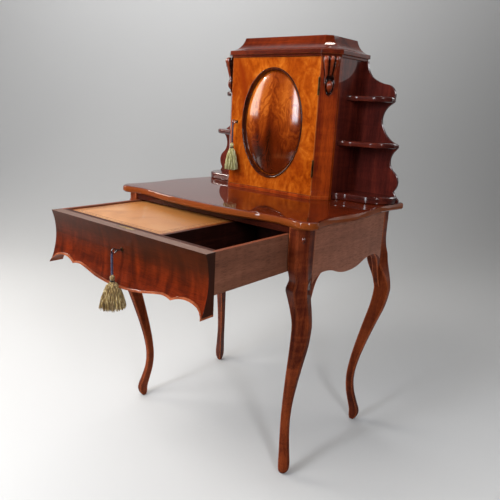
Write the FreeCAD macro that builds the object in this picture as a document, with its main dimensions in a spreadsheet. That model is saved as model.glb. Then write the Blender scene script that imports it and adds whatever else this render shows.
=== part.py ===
import FreeCAD, Part
import math
import os

import Sketcher
from FreeCAD import Placement, Rotation, Vector

# Bonheur du jour: a lady's writing table on four cabriole legs, with one frieze
# drawer, and on its back a small cupboard between open shelves.
#
# Millimetres. X runs to the right, Y to the back and Z up. The floor is Z = 0, and
# the origin lies under the middle of the whole piece, whose drawer stands open.

SIZES = {
    # Table top: a cartouche outline with a moulded edge.
    "table_height": 740,
    "top_thickness": 20,
    "top_half_width": 367,
    "top_back_overhang": 28.6,
    "top_front_overhang": 25.6,
    "top_side_overhang": 22.6,
    "top_front_round": 38,
    "top_back_round": 8,
    "top_side_dip": 11,
    "top_front_dip": 24,
    "top_edge_round": 7,
    # Frame: the outer faces of the legs, and drops measured from its top.
    "frame_half_depth": 234.4,
    "leg_block": 48,
    "leg_block_height": 70,
    "leg_corner_flat": 30,
    "apron_thickness": 20,
    "apron_foot_drop": 150,
    "apron_arch_drop": 126,
    "apron_middle_drop": 149,
    "apron_arch_reach": 135,
    "back_apron_drop": 118,
    "top_rail_depth": 62,
    # Cabriole leg: drops from the frame's top, heights from the floor, and reach
    # along the outward diagonal.
    "ear_drop": 172,
    "ear_reach": 15,
    "ear_width": 76,
    "ear_lean": 7,
    "knee_drop": 254,
    "knee_reach": 30,
    "knee_lean": 9.5,
    "knee_depth": 50,
    "knee_width": 54,
    "knee_flat": 29,
    "ankle_height": 158,
    "ankle_set_in": 49,
    "ankle_depth": 26.8,
    "ankle_width": 29,
    "ankle_flat": 12,
    "toe_height": 35,
    "toe_set_in": 21,
    "toe_depth": 33.5,
    "toe_width": 34.6,
    "toe_flat": 15,
    "sole_set_in": 35.5,
    "sole_depth": 14,
    "sole_width": 17,
    "sole_flat": 7,
    "knob_radius": 5,
    "knob_half_height": 8.5,
    "knob_drop": 26,
    # Drawer, drawn out at rest.
    "drawer_open": 291,
    "drawer_back_room": 41.8,
    "drawer_front_gap": 1,
    "drawer_top_gap": 1.5,
    "drawer_gap": 0.3,
    "drawer_side_gap": 1,
    "drawer_side_thickness": 11,
    "drawer_top_drop": 20,
    "runner_drop": 118.3,
    "drawer_bottom_lift": 6,
    "drawer_bottom_thickness": 6,
    "drawer_back_thickness": 10,
    "runner_thickness": 12,
    "runner_width": 46,
    "guide_height": 24,
    "front_thickness": 29,
    "box_front_thickness": 13.5,
    "front_hollow": 10.5,
    "front_flare": 12,
    "front_plane_set_in": 2,
    "front_hollow_drop": 52,
    "front_turn_drop": 106,
    "front_centre_drop": 143,
    "front_shoulder_drop": 124,
    "front_shoulder_set_in": 136.4,
    "front_cusp_drop": 128.5,
    "front_cusp_set_in": 102.4,
    "front_arch_drop": 117,
    "front_arch_set_in": 50.4,
    "front_horn_drop": 146,
    "bead_height": 5,
    "bead_proud": 2.5,
    # Writing slide and the divider that carries its right edge.
    "divider_place": 96,
    "divider_thickness": 8,
    "slide_drop": 4,
    "slide_thickness": 12,
    "slide_length": 285,
    "slide_gap": 0.4,
    "ledge_width": 8,
    "ledge_height": 10,
    "leather_thickness": 1.2,
    "leather_margin": 8,
    # Locks and keys.
    "lock_half_width": 30,
    "lock_height": 66,
    "lock_depth": 11,
    "lock_gap": 0.3,
    "lock_chamber_radius": 8.5,
    "bolt_half_width": 6,
    "bolt_thickness": 5,
    "bolt_length": 41,
    "bolt_rise": 9,
    "key_depth_down": 53,
    "key_shaft_radius": 2.5,
    "key_bit": 7.5,
    "key_bit_thickness": 2.4,
    "key_bow_radius": 6,
    "key_bow_wire": 1.6,
    "key_collar_radius": 3.8,
    "key_reach": 8,
    "escutcheon_radius": 5.5,
    "cord_radius": 2,
    "cord_clearance": 0.3,
    "drawer_cord_length": 51,
    "tassel_head_radius": 6.5,
    "tassel_head_height": 20,
    "drawer_tassel_spread": 30,
    "door_tassel_spread": 18,
    "tassel_skirt_height": 70,
    # Cupboard.
    "cupboard_half_width": 204,
    "cupboard_front": 50,
    "cupboard_back_set_in": 50,
    "cupboard_height": 396,
    "cant": 39,
    "stile_return": 11,
    "base_thickness": 10,
    "base_lip": 3,
    "board_thickness": 13,
    "side_thickness": 16,
    "inner_shelf_rise": 194,
    "back_thickness": 10,
    # Cornice, standing on the cupboard.
    "cornice_ovolo": 7,
    "cornice_ovolo_proud": 4,
    "cornice_bead": 12,
    "cornice_bead_proud": 10,
    "cornice_cove": 42,
    "cornice_cove_inset": 39,
    "cornice_back_proud": 28,
    # Shelves beside the cupboard and the shaped back.
    "shelf_thickness": 16,
    "base_shelf_thickness": 22,
    "base_shelf_set_in": 4,
    "base_shelf_front": 100,
    "middle_shelf_rise": 160,
    "middle_shelf_set_in": 20,
    "middle_shelf_front": 107,
    "upper_shelf_rise": 290,
    "upper_shelf_set_in": 47,
    "upper_shelf_front": 138,
    "shelf_edge_round": 5,
    "neck_proud": 18,
    "neck_rise": 76,
    "lower_lobe_set_in": 9,
    "lower_waist_set_in": 40,
    "upper_waist_set_in": 80,
    # Door.
    "door_gap": 1,
    "door_thickness": 24,
    "oval_side_margin": 48,
    "oval_end_margin": 31.5,
    "oval_lift": 3,
    "oval_recess": 9,
    "moulding_width": 10,
    "moulding_proud": 3,
    "dome_rise": 16,
    "panel_gap": 0.3,
    "door_key_inset": 24,
    "door_key_lift": 1,
    "door_lock_width": 46,
    "door_lock_half_height": 24,
    "door_cord_length": 58,
    # Butt hinges.
    "hinge_length": 50,
    "hinge_inset": 55,
    "hinge_leaf": 1,
    "hinge_leaf_width": 18,
    "knuckle_radius": 2.4,
    "pin_radius": 1.1,
    "hinge_gap": 0.3,
    # Carved corbels on the canted corners.
    "corbel_height": 108,
    "corbel_width": 48,
    "corbel_bulb_width": 34,
    "corbel_reach": 25,
    "corbel_waist": 11.5,
}

doc = FreeCAD.newDocument("BonheurDuJour")
sheet = doc.addObject("Spreadsheet::Sheet", "Sizes")


class Length:
    """A size: its value and the spreadsheet formula that gives it."""

    def __init__(self, value, formula):
        self.value = float(value)
        self.formula = formula

    def __add__(self, other):
        other = length(other)
        return Length(self.value + other.value, f"({self.formula} + {other.formula})")

    def __sub__(self, other):
        other = length(other)
        return Length(self.value - other.value, f"({self.formula} - {other.formula})")

    def __mul__(self, other):
        other = length(other)
        return Length(self.value * other.value, f"({self.formula} * {other.formula})")

    def __truediv__(self, other):
        other = length(other)
        return Length(self.value / other.value, f"({self.formula} / {other.formula})")

    def __neg__(self):
        return Length(-self.value, f"(0 - {self.formula})")

    def __radd__(self, other):
        return length(other) + self

    def __rsub__(self, other):
        return length(other) - self

    def __rmul__(self, other):
        return length(other) * self


def length(value):
    """Plain numbers join in as sizes without a cell."""
    if isinstance(value, Length):
        return value
    return Length(value, f"({value})" if value < 0 else f"{value}")


class Sizes:
    """The spreadsheet's cells by name."""


S = Sizes()
for row, (cell_name, cell_value) in enumerate(SIZES.items(), start=1):
    sheet.set(f"A{row}", cell_name)
    sheet.set(f"B{row}", str(cell_value))
    sheet.setAlias(f"B{row}", cell_name)
    setattr(S, cell_name, Length(cell_value, f"Sizes.{cell_name}"))
doc.recompute()

SIDES = ((-1, "left"), (1, "right"))
DIAGONAL = round(1 / math.sqrt(2), 9)

# The table's own middle lies this far behind the origin, so that the origin comes
# under the middle of everything from the key in the drawer to the table top's back.
front_plane = S.frame_half_depth - S.front_plane_set_in
top_back_reach = S.frame_half_depth + S.top_back_overhang
bow_reach = S.key_bow_radius + S.key_bow_wire
middle = (front_plane + S.drawer_open + S.key_reach + bow_reach * 2 - top_back_reach) / 2
drawer_middle = middle - S.drawer_open
frame_top = S.table_height - S.top_thickness
frame_half_width = S.top_half_width - S.top_side_overhang

pieces = []


def keep(thing, y=middle, turn=None, x=0, z=0):
    """Stands a finished sub-part in the piece's frame and puts it on the parts list."""
    thing.Placement = Placement(Vector(0, 0, 0), turn or Rotation())
    for axis, value in (("x", x), ("y", y), ("z", z)):
        if isinstance(value, Length):
            thing.setExpression(f"Placement.Base.{axis}", value.formula)
    pieces.append(thing)
    return thing


def new_body(name):
    body = doc.addObject("PartDesign::Body", name)
    body.Label = name
    return body


def new_sketch(body, plane, level=0):
    """A sketch on one of the body's own origin planes, moved along its normal."""
    sketch = body.newObject("Sketcher::SketchObject", "Outline")
    support = next(f for f in body.Origin.OriginFeatures if f.Role == plane)
    sketch.AttachmentSupport = [(support, "")]
    sketch.MapMode = "FlatFace"
    if isinstance(level, Length):
        sketch.setExpression("AttachmentOffset.Base.z", level.formula)
    return sketch


def fix_point(sketch, geometry, position, point, name):
    """Holds a point of the sketch at its sizes, measured from the sketch's origin."""
    for kind, axis, value in (("DistanceX", "x", point[0]), ("DistanceY", "y", point[1])):
        value = length(value)
        number = sketch.addConstraint(
            Sketcher.Constraint(kind, -1, 1, geometry, position, value.value))
        sketch.renameConstraint(number, f"{axis}_{name}")
        if "Sizes." in value.formula:
            sketch.setExpression(f"Constraints.{axis}_{name}", value.formula)


def flat(point):
    return Vector(length(point[0]).value, length(point[1]).value, 0)


def draw(sketch, corners):
    """A closed outline. A corner is (x, y), with a third item (x, y) where the edge to
    the next corner is an arc that passes through that point."""
    ends = []
    for number, corner in enumerate(corners):
        start = flat(corner)
        end = flat(corners[(number + 1) % len(corners)])
        if len(corner) == 2:
            edge = sketch.addGeometry(Part.LineSegment(start, end))
            ends.append((edge, 1, 2))
            continue
        through = flat(corner[2])
        turns_left = (through - start).cross(end - through).z > 0
        first, last = (start, end) if turns_left else (end, start)
        edge = sketch.addGeometry(Part.Arc(first, through, last))
        ends.append((edge, 1, 2) if turns_left else (edge, 2, 1))
    for number, (edge, start_end, _) in enumerate(ends):
        before, _, before_end = ends[number - 1]
        sketch.addConstraint(
            Sketcher.Constraint("Coincident", before, before_end, edge, start_end))
        fix_point(sketch, edge, start_end, corners[number], f"corner_{number}")
        if len(corners[number]) == 3:
            point = sketch.addGeometry(Part.Point(flat(corners[number][2])), True)
            sketch.addConstraint(Sketcher.Constraint("PointOnObject", point, 1, edge))
            fix_point(sketch, point, 1, corners[number][2], f"through_{number}")


def mirrored(half):
    """A whole outline from its right half, which runs from the axis to the axis.
    Arcs between corners are carried over to the left."""
    count = len(half)
    left = []
    for number in range(count - 2, 0, -1):
        x, y = half[number][0], half[number][1]
        before = half[number - 1]
        left.append((-x, y, (-before[2][0], before[2][1])) if len(before) == 3 else (-x, y))
    whole = list(half[:-1])
    last = half[-1]
    turn = half[-2]
    if len(turn) == 3:
        whole.append((last[0], last[1], (-turn[2][0], turn[2][1])))
    else:
        whole.append((last[0], last[1]))
    return whole + left


def ellipse(half_width, half_height, centre_height):
    """An upright ellipse on the sketch's vertical axis, held by its two axes."""
    def put_on(sketch):
        centre = Vector(0, centre_height.value, 0)
        top = centre + Vector(0, half_height.value, 0)
        side = centre + Vector(half_width.value, 0, 0)
        edge = sketch.addGeometry(Part.Ellipse(top, side, centre))
        sketch.exposeInternalGeometry(edge)
        major, minor = edge + 1, edge + 2
        fix_point(sketch, edge, 3, (0, centre_height), "centre")
        sketch.addConstraint(Sketcher.Constraint("Vertical", major))
        for axis, name, half in ((major, "height", half_height), (minor, "width", half_width)):
            number = sketch.addConstraint(
                Sketcher.Constraint("Distance", axis, 1, axis, 2, half.value * 2))
            sketch.renameConstraint(number, name)
            sketch.setExpression(f"Constraints.{name}", (half * 2).formula)
    return put_on


def circle(x, y, radius):
    def put_on(sketch):
        centre = flat((x, y))
        edge = sketch.addGeometry(Part.Circle(centre, Vector(0, 0, 1), radius.value))
        fix_point(sketch, edge, 3, (x, y), "centre")
        number = sketch.addConstraint(Sketcher.Constraint("Radius", edge, radius.value))
        sketch.renameConstraint(number, "radius")
        sketch.setExpression("Constraints.radius", radius.formula)
    return put_on


def many_sided(x, y, half_width, half_height, sides):
    """An oval outline of many flat sides."""
    corners = []
    for number in range(sides):
        angle = 2 * math.pi * (number + 0.5) / sides
        corners.append((x + half_width * round(math.cos(angle), 6),
                        y + half_height * round(math.sin(angle), 6)))
    return corners


def near_round(x, y, radius, sides=12):
    """A small round of flat sides, for turned metal."""
    return many_sided(x, y, radius, radius, sides)


def sketch_of(body, plane, level, shape):
    """A sketch of a shape: a list of corners, or a circle or an ellipse."""
    sketch = new_sketch(body, plane, level)
    if callable(shape):
        shape(sketch)
    else:
        draw(sketch, shape)
    return sketch


def pad(body, plane, level, thickness, shape):
    """Material of one thickness: up from XY, forward from XZ, to the right from YZ."""
    feature = body.newObject("PartDesign::Pad", "Pad")
    feature.Profile = sketch_of(body, plane, level, shape)
    feature.setExpression("Length", length(thickness).formula)
    return feature


def cut(body, plane, level, depth, shape):
    """Takes material away along the plane's normal: up, forward or to the right."""
    feature = body.newObject("PartDesign::Pocket", "Pocket")
    feature.Profile = sketch_of(body, plane, level, shape)
    feature.Reversed = True
    feature.setExpression("Length", length(depth).formula)
    return feature


def loft(body, sketches, kind="AdditiveLoft", ruled=False):
    feature = body.newObject(f"PartDesign::{kind}", "Loft")
    feature.Profile = sketches[0]
    feature.Sections = sketches[1:]
    feature.Ruled = ruled
    return feature


def rectangle(x_low, y_low, x_high, y_high):
    return [(x_low, y_low), (x_high, y_low), (x_high, y_high), (x_low, y_high)]


def box(name, x_low, y_low, z_low, x_high, y_high, z_high):
    """A squared board between two corners."""
    body = new_body(name)
    pad(body, "XY_Plane", length(z_low), length(z_high) - z_low,
        rectangle(x_low, y_low, x_high, y_high))
    return body


# Table top. Its front swells between two hollows, its sides swell a little, and the
# corners stand out as rounded ears. The edge is moulded: a small round below and a
# broad one above, given as shares of the thickness and of the upper round.
def table_top_outline(inset):
    width = S.top_half_width - inset
    back = top_back_reach - inset
    front = S.frame_half_depth + S.top_front_overhang - inset
    corner = S.top_front_round - inset
    back_corner = S.top_back_round - inset
    dip = S.top_side_dip
    flank = front - S.top_front_dip
    ear_front = flank + S.top_front_dip / 2
    side_middle = (back - ear_front) / 2
    side_half = (back + ear_front) / 2 - corner
    half = [
        (0, back),
        (width - back_corner, back, (width - back_corner * 0.29, back - back_corner * 0.29)),
        (width, back - back_corner, (width - dip, side_middle + side_half * 0.62)),
        (width - dip * 0.35, side_middle + side_half * 0.27, (width, side_middle)),
        (width - dip * 0.35, side_middle - side_half * 0.27,
         (width - dip, side_middle - side_half * 0.62)),
        (width, corner - ear_front, (width - corner * 0.28, corner * 0.28 - ear_front)),
        (width - corner, -ear_front, (width * 0.735, -flank)),
        (width * 0.52, -(flank + S.top_front_dip * 0.36),
         (width * 0.27, -(front - S.top_front_dip * 0.13))),
        (0, -front),
    ]
    return mirrored(half)


table_top = new_body("table_top")
loft(table_top, [
    sketch_of(table_top, "XY_Plane", frame_top + S.top_thickness * rise,
              table_top_outline(S.top_edge_round * share))
    for rise, share in ((0, 0.5), (0.2, 0), (0.62, 0), (0.88, 0.25), (1, 1))
], ruled=True)
keep(table_top)


# Cabriole legs. Each is worked along its outward diagonal, which is the body's own X
# axis, from the corner post of the frame down to the foot. A section is a square set
# cornerwise with its outer corner planed flat.
post_corner = S.leg_block / DIAGONAL / 2
post_face = post_corner - S.leg_corner_flat / 2


class Section:
    """One section of the leg: its height, the place of its flat, its depth behind the
    flat, its width, the flat's width, how far back its side corners lie, and how far it
    leans from the diagonal towards the table's end."""

    def __init__(self, height, face, depth, width, flat_width, shoulder, lean=length(0)):
        self.height = height
        self.face = face
        self.depth = depth
        self.width = width
        self.flat = flat_width
        self.shoulder = shoulder
        self.lean = lean

    def corners(self, hand):
        aside = self.lean * hand
        return [
            (self.face, aside + self.flat / 2),
            (self.face - self.shoulder, aside + self.width / 2),
            (self.face - self.depth, aside),
            (self.face - self.shoulder, aside - self.width / 2),
            (self.face, aside - self.flat / 2),
        ]


def between(low, high, rise, change):
    """A section part of the way up from one to another: rise is its share of the
    height and change its share of the difference in form."""
    def mix(a, b, share):
        return a + (b - a) * share
    return Section(
        mix(low.height, high.height, rise),
        mix(low.face, high.face, change),
        mix(low.depth, high.depth, change),
        mix(low.width, high.width, change),
        mix(low.flat, high.flat, change),
        mix(low.shoulder, high.shoulder, change),
        mix(low.lean, high.lean, change),
    )


def square_shoulder(width, flat_width):
    return (width - flat_width) / 2


post = Section(frame_top - S.leg_block_height, post_face, post_face + post_corner,
               post_corner * 2, S.leg_corner_flat, post_face)
apron_foot = frame_top - S.apron_foot_drop
swell = Section(apron_foot, post_face + S.ear_reach * 0.7, post.depth + S.ear_reach * 0.7,
                post.width, S.leg_corner_flat, post_face + S.ear_reach * 0.7)
ear = Section(frame_top - S.ear_drop, post_face + S.ear_reach,
              post_face + S.ear_reach + post_corner * 0.86, S.ear_width, S.leg_corner_flat * 1.1,
              post_face + S.ear_reach, S.ear_lean)
knee = Section(frame_top - S.knee_drop, post_face + S.knee_reach, S.knee_depth, S.knee_width,
               S.knee_flat, square_shoulder(S.knee_width, S.knee_flat), S.knee_lean)
ankle = Section(S.ankle_height, post_face - S.ankle_set_in, S.ankle_depth, S.ankle_width,
                S.ankle_flat, square_shoulder(S.ankle_width, S.ankle_flat))
toe = Section(S.toe_height, post_face - S.toe_set_in, S.toe_depth, S.toe_width, S.toe_flat,
              square_shoulder(S.toe_width, S.toe_flat))
sole = Section(length(0), post_face - S.sole_set_in, S.sole_depth, S.sole_width, S.sole_flat,
               square_shoulder(S.sole_width, S.sole_flat))
BLOCK_SECTIONS = [
    post,
    between(swell, post, 0.7, 0.92),
    between(swell, post, 0.35, 0.6),
    swell,
]
LEG_SECTIONS = [
    swell,
    between(ear, swell, 0.45, 0.25),
    ear,
    between(knee, ear, 0.78, 0.74),
    between(knee, ear, 0.5, 0.36),
    between(knee, ear, 0.22, 0.08),
    knee,
    between(ankle, knee, 0.83, 0.885),
    between(ankle, knee, 0.63, 0.62),
    between(ankle, knee, 0.38, 0.3),
    between(ankle, knee, 0.17, 0.085),
    ankle,
    between(toe, ankle, 0.62, 0.84),
    between(toe, ankle, 0.28, 0.4),
    toe,
    between(sole, toe, 0.38, 0.74),
    sole,
]


def cabriole_leg(name, side, end):
    """A leg for one corner: side is -1 at the left, end is -1 at the front."""
    body = new_body(name)
    hand = -side * end
    pad(body, "XY_Plane", post.height, S.leg_block_height, post.corners(hand))
    for sections in (BLOCK_SECTIONS, LEG_SECTIONS):
        loft(body, [sketch_of(body, "XY_Plane", section.height, section.corners(hand))
                    for section in reversed(sections)], ruled=True)
    loft(body, [sketch_of(body, "YZ_Plane", post_face + S.knob_radius * rise,
                          many_sided(0, frame_top - S.knob_drop, S.knob_radius * share,
                                     S.knob_half_height * share, 12))
                for rise, share in ((-0.2, 1), (0.4, 0.92), (0.8, 0.6), (1, 0.25))], ruled=True)
    angle = math.degrees(math.atan2(end, side))
    reach = S.leg_block / 2
    keep(body, x=(frame_half_width - reach) * side, y=middle + (S.frame_half_depth - reach) * end,
         turn=Rotation(Vector(0, 0, 1), angle))


for side, side_name in SIDES:
    cabriole_leg(f"leg_front_{side_name}", side, -1)
    cabriole_leg(f"leg_back_{side_name}", side, 1)


# Aprons. The side aprons have a double-arched lower edge that runs out into the legs'
# ears. The back apron is plain.
post_inside = S.frame_half_depth - S.leg_block
for side, side_name in SIDES:
    arch, drop = frame_top - S.apron_arch_drop, frame_top - S.apron_middle_drop
    reach = S.apron_arch_reach
    edge = mirrored([
        (0, frame_top),
        (post_inside, frame_top),
        (post_inside, apron_foot,
         (reach + (post_inside - reach) * 0.62, arch - (arch - apron_foot) * 0.36)),
        (reach, arch, (reach * 0.79, arch - (arch - drop) * 0.09)),
        (reach * 0.56, arch - (arch - drop) * 0.42, (reach * 0.3, drop + (arch - drop) * 0.13)),
        (0, drop),
    ])
    apron = new_body(f"side_apron_{side_name}")
    inner = frame_half_width - S.apron_thickness
    pad(apron, "YZ_Plane", inner if side > 0 else -frame_half_width, S.apron_thickness, edge)
    keep(apron)

back_inside = frame_half_width - S.leg_block
keep(box("back_apron", -back_inside, S.frame_half_depth - S.apron_thickness,
         frame_top - S.back_apron_drop, back_inside, S.frame_half_depth, frame_top))

# Front top rail, over the drawer, with the mortise that takes the lock's bolt.
drawer_top = frame_top - S.drawer_top_drop
rail_under = drawer_top + S.drawer_top_gap
front_back = -(front_plane - S.front_thickness)
bolt_back = front_back - (S.lock_depth - S.bolt_thickness) / 2
rail = box("front_top_rail", -back_inside, -(front_plane - 3), rail_under,
           back_inside, -(front_plane - 3 - S.top_rail_depth), frame_top)
cut(rail, "XY_Plane", rail_under, S.bolt_rise + 3,
    rectangle(-(S.bolt_half_width + 1), bolt_back - S.bolt_thickness - 1,
              S.bolt_half_width + 1, bolt_back + 1))
keep(rail)

# Drawer runners, which carry and guide the drawer's sides, and kickers above them,
# which keep the open drawer from tipping. All are fixed inside the side aprons.
apron_inside = frame_half_width - S.apron_thickness
drawer_half = back_inside - S.drawer_front_gap
side_face = drawer_half - 1
guide_inside = side_face + S.drawer_side_gap
runner_top = frame_top - S.runner_drop
for side, side_name in SIDES:
    runner = new_body(f"drawer_runner_{side_name}")
    section = [
        (apron_inside * side, runner_top - S.runner_thickness),
        (apron_inside * side, runner_top + S.guide_height),
        (guide_inside * side, runner_top + S.guide_height),
        (guide_inside * side, runner_top),
        ((apron_inside - S.runner_width) * side, runner_top),
        ((apron_inside - S.runner_width) * side, runner_top - S.runner_thickness),
    ]
    pad(runner, "XZ_Plane", -post_inside, post_inside * 2, section)
    keep(runner)
    inner_x, outer_x = (apron_inside - S.runner_width) * side, apron_inside * side
    kicker_front = -(front_plane - 3 - S.top_rail_depth)
    keep(box(f"drawer_kicker_{side_name}", inner_x, kicker_front, rail_under,
             outer_x, post_inside, frame_top))


# Drawer. Its front hangs below its sides as the table's apron: hollow in section, with
# a shaped lower edge between two horns.
drawer_floor = runner_top + S.drawer_gap
front_horn = drawer_top - S.front_horn_drop
front_turn = drawer_top - S.front_turn_drop


def front_blank(name, proud):
    """A length of the front's section, which stands proud of the front's face."""
    face = -(front_plane + proud)
    low = front_horn - 2
    body = new_body(name)
    pad(body, "YZ_Plane", -drawer_half, drawer_half * 2, [
        (face, drawer_top, (face + S.front_hollow, drawer_top - S.front_hollow_drop)),
        (face + S.front_hollow * 0.43, front_turn,
         (face - S.front_flare * 0.18, (low + front_turn) / 2)),
        (face - S.front_flare, low),
        (front_back, low),
        (front_back, drawer_top),
    ])
    return body


def lower_edge(lift):
    """The right half of the front's lower edge, from the horn to the middle."""
    half, top = drawer_half, drawer_top + lift
    horn, arch = top - S.front_horn_drop, top - S.front_arch_drop
    cusp, shoulder = top - S.front_cusp_drop, top - S.front_shoulder_drop
    centre = top - S.front_centre_drop
    arch_place, cusp_place = half - S.front_arch_set_in, half - S.front_cusp_set_in
    shoulder_place = half - S.front_shoulder_set_in
    inner = shoulder_place * 0.576
    return [
        (half, horn, (half - 7.5, horn + (arch - horn) * 0.44)),
        (half - 21, arch - (arch - horn) * 0.22, (arch_place, arch)),
        (cusp_place, cusp, ((cusp_place + shoulder_place) / 2 + 1,
                            shoulder - (shoulder - cusp) * 0.17)),
        (shoulder_place, shoulder, (shoulder_place * 0.79, centre + (shoulder - centre) * 0.68)),
        (inner, centre + (shoulder - centre) * 0.32, (inner / 2, centre + (shoulder - centre) * 0.08)),
        (0, centre),
    ]


front_cut_depth = S.front_thickness + S.front_flare + S.bead_proud + 4
front_below = front_horn - 10
side_clear = drawer_half + 4
drawer_front = front_blank("drawer_front", length(0))
cut(drawer_front, "XZ_Plane", -front_back, front_cut_depth, mirrored(
    [(0, front_below), (side_clear, front_below), (side_clear, front_horn + S.bead_height)]
    + lower_edge(S.bead_height)))
drawer_bead = front_blank("drawer_bead", S.bead_proud)
cut(drawer_bead, "XZ_Plane", -front_back, front_cut_depth, mirrored(
    [(0, front_below), (side_clear, front_below), (side_clear, front_horn)]
    + lower_edge(length(0))))
cut(drawer_bead, "XZ_Plane", -front_back, front_cut_depth, mirrored(
    [(0, drawer_top + 5), (side_clear, drawer_top + 5), (side_clear, front_horn + S.bead_height)]
    + lower_edge(S.bead_height)))
keep(drawer_bead, y=drawer_middle)

# The lock is let into the back of the front, flush with its top edge, and the front
# of the drawer's own box closes it in.
key_height = drawer_top - S.key_depth_down
lock_bottom = drawer_top - S.lock_height
lock_gap = S.lock_gap
lock_front = front_back - S.lock_depth
bolt_front = bolt_back - S.bolt_thickness
keyhole_radius = S.key_shaft_radius + 1
cut(drawer_front, "XY_Plane", lock_bottom - lock_gap, S.lock_height + lock_gap + 1,
    rectangle(-(S.lock_half_width + lock_gap), lock_front - lock_gap,
              S.lock_half_width + lock_gap, front_back + 1))
cut(drawer_front, "XZ_Plane", -front_back, front_cut_depth, circle(0, key_height, keyhole_radius))
escutcheon_back = -(front_plane - S.front_hollow - 4)
cut(drawer_front, "XZ_Plane", -escutcheon_back, S.front_hollow + 8,
    circle(0, key_height, S.escutcheon_radius))
keep(drawer_front, y=drawer_middle)


def lock_case(name, x_low, y_low, z_low, x_high, y_high, z_high, key_x, key_z, channel):
    """A lock's brass case: a chamber for the key's bit, open to the bolt's channel,
    which is a box given by its two corners."""
    case = box(name, x_low, y_low, z_low, x_high, y_high, z_high)
    (a, b, c), (d, e, f) = channel
    cut(case, "XY_Plane", c, length(f) - c, rectangle(a, b, d, e))
    cut(case, "XZ_Plane", -e, e - b, circle(key_x, key_z, S.lock_chamber_radius))
    cut(case, "XZ_Plane", -e, length(e) - y_low + 1, circle(key_x, key_z, keyhole_radius))
    return case


channel_half = S.bolt_half_width + lock_gap
keep(lock_case("drawer_lock", -S.lock_half_width, lock_front, lock_bottom,
               S.lock_half_width, front_back, drawer_top, 0, key_height,
               ((-channel_half, bolt_front - lock_gap, key_height),
                (channel_half, bolt_back + lock_gap, drawer_top + 1))), y=drawer_middle)
keep(box("drawer_lock_bolt", -S.bolt_half_width, bolt_front, drawer_top - 0.5 - S.bolt_length,
         S.bolt_half_width, bolt_back, drawer_top - 0.5), y=drawer_middle)


def escutcheon(name, front, back):
    """A brass collar that lines a keyhole, standing a little proud of the wood."""
    collar = new_body(name)
    pad(collar, "XZ_Plane", -back, back - front, near_round(0, 0, S.escutcheon_radius))
    cut(collar, "XZ_Plane", -back, back - front, near_round(0, 0, keyhole_radius))
    return collar


keep(escutcheon("drawer_escutcheon", -(front_plane - S.front_hollow) - 1, escutcheon_back),
     y=drawer_middle, z=key_height)


def lock_key(name, inside, outside):
    """A key along Y about its own axis: shank, collar, bit pointing down, and a ring
    for its bow. The bow starts where the shank ends, at the place called outside."""
    key = new_body(name)
    pad(key, "XZ_Plane", -inside, inside - outside + 1, near_round(0, 0, S.key_shaft_radius))
    pad(key, "XZ_Plane", -outside - 4.5, 3, near_round(0, 0, S.key_collar_radius))
    pad(key, "XZ_Plane", -inside, S.bolt_thickness - lock_gap * 2,
        rectangle(-S.key_bit_thickness / 2, -S.key_bit, S.key_bit_thickness / 2, 0))
    bow_centre = outside - S.key_bow_radius
    pad(key, "YZ_Plane", -S.key_bow_wire, S.key_bow_wire * 2, circle(bow_centre, 0, bow_reach))
    cut(key, "YZ_Plane", -S.key_bow_wire - 1, S.key_bow_wire * 2 + 2,
        near_round(bow_centre, 0, S.key_bow_radius - S.key_bow_wire))
    return key


key_end = -(front_plane + S.key_reach)
keep(lock_key("drawer_key", bolt_back - lock_gap, key_end), y=drawer_middle, z=key_height)


def tassel_cord(name, hang):
    """The loop of cord from which a tassel hangs, as one plain tube."""
    cord = new_body(name)
    pad(cord, "XY_Plane", -hang, hang, circle(0, 0, S.cord_radius))
    return cord


def tassel(name, skirt):
    """A tassel as one plain solid: a turned head, bound at its neck, and its skirt,
    which spreads to the radius given."""
    body = new_body(name)
    head = S.tassel_head_radius
    neck = -S.tassel_head_height
    low = neck - S.tassel_skirt_height
    fall = low - neck
    rings = [
        (low, skirt),
        (neck + fall * 0.55, head * 0.9 + (skirt - head * 0.9) * 0.5),
        (neck + fall * 0.16, head * 0.9),
        (neck, head * 0.7),
        (neck * 0.3, head),
        (length(0), head * 0.5),
    ]
    loft(body, [sketch_of(body, "XY_Plane", level, near_round(0, 0, radius))
                for level, radius in rings], ruled=True)
    return body


def hang_tassel(name, x, key_end, key_height, hang, skirt, frame_y):
    """Hangs a tassel plumb under the outer half of a key's bow, clear of the bow."""
    y = frame_y + key_end - S.key_bow_radius * 2 + 1
    top = key_height - bow_reach - S.cord_clearance
    keep(tassel_cord(f"{name}_cord", hang), x=x, y=y, z=top)
    keep(tassel(name, skirt), x=x, y=y, z=top - hang)
    print(f"{name}_cord hangs straight, {hang.value:g} mm long, with no bend")


hang_tassel("drawer_tassel", 0, key_end, key_height, S.drawer_cord_length,
            S.drawer_tassel_spread, drawer_middle)

# The drawer's box: front, sides, back, bottom, and a divider that parts the open well
# at the right from the compartment under the writing slide.
drawer_back_end = S.frame_half_depth - S.apron_thickness - S.drawer_back_room
side_inside = side_face - S.drawer_side_thickness
box_back = front_back + S.box_front_thickness
keep(box("drawer_box_front", -side_inside, front_back, drawer_floor, side_inside, box_back,
         drawer_top), y=drawer_middle)
for side, side_name in SIDES:
    keep(box(f"drawer_side_{side_name}", side_inside * side, front_back, drawer_floor,
             side_face * side, drawer_back_end, drawer_top), y=drawer_middle)
back_front = drawer_back_end - S.drawer_back_thickness
bottom_low = drawer_floor + S.drawer_bottom_lift
bottom_top = bottom_low + S.drawer_bottom_thickness
keep(box("drawer_bottom", -side_inside, box_back, bottom_low, side_inside, drawer_back_end,
         bottom_top), y=drawer_middle)
slide_top = drawer_top - S.slide_drop
slide_low = slide_top - S.slide_thickness
keep(box("drawer_back", -side_inside, back_front, bottom_top, side_inside, drawer_back_end,
         slide_low - 1), y=drawer_middle)
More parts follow.
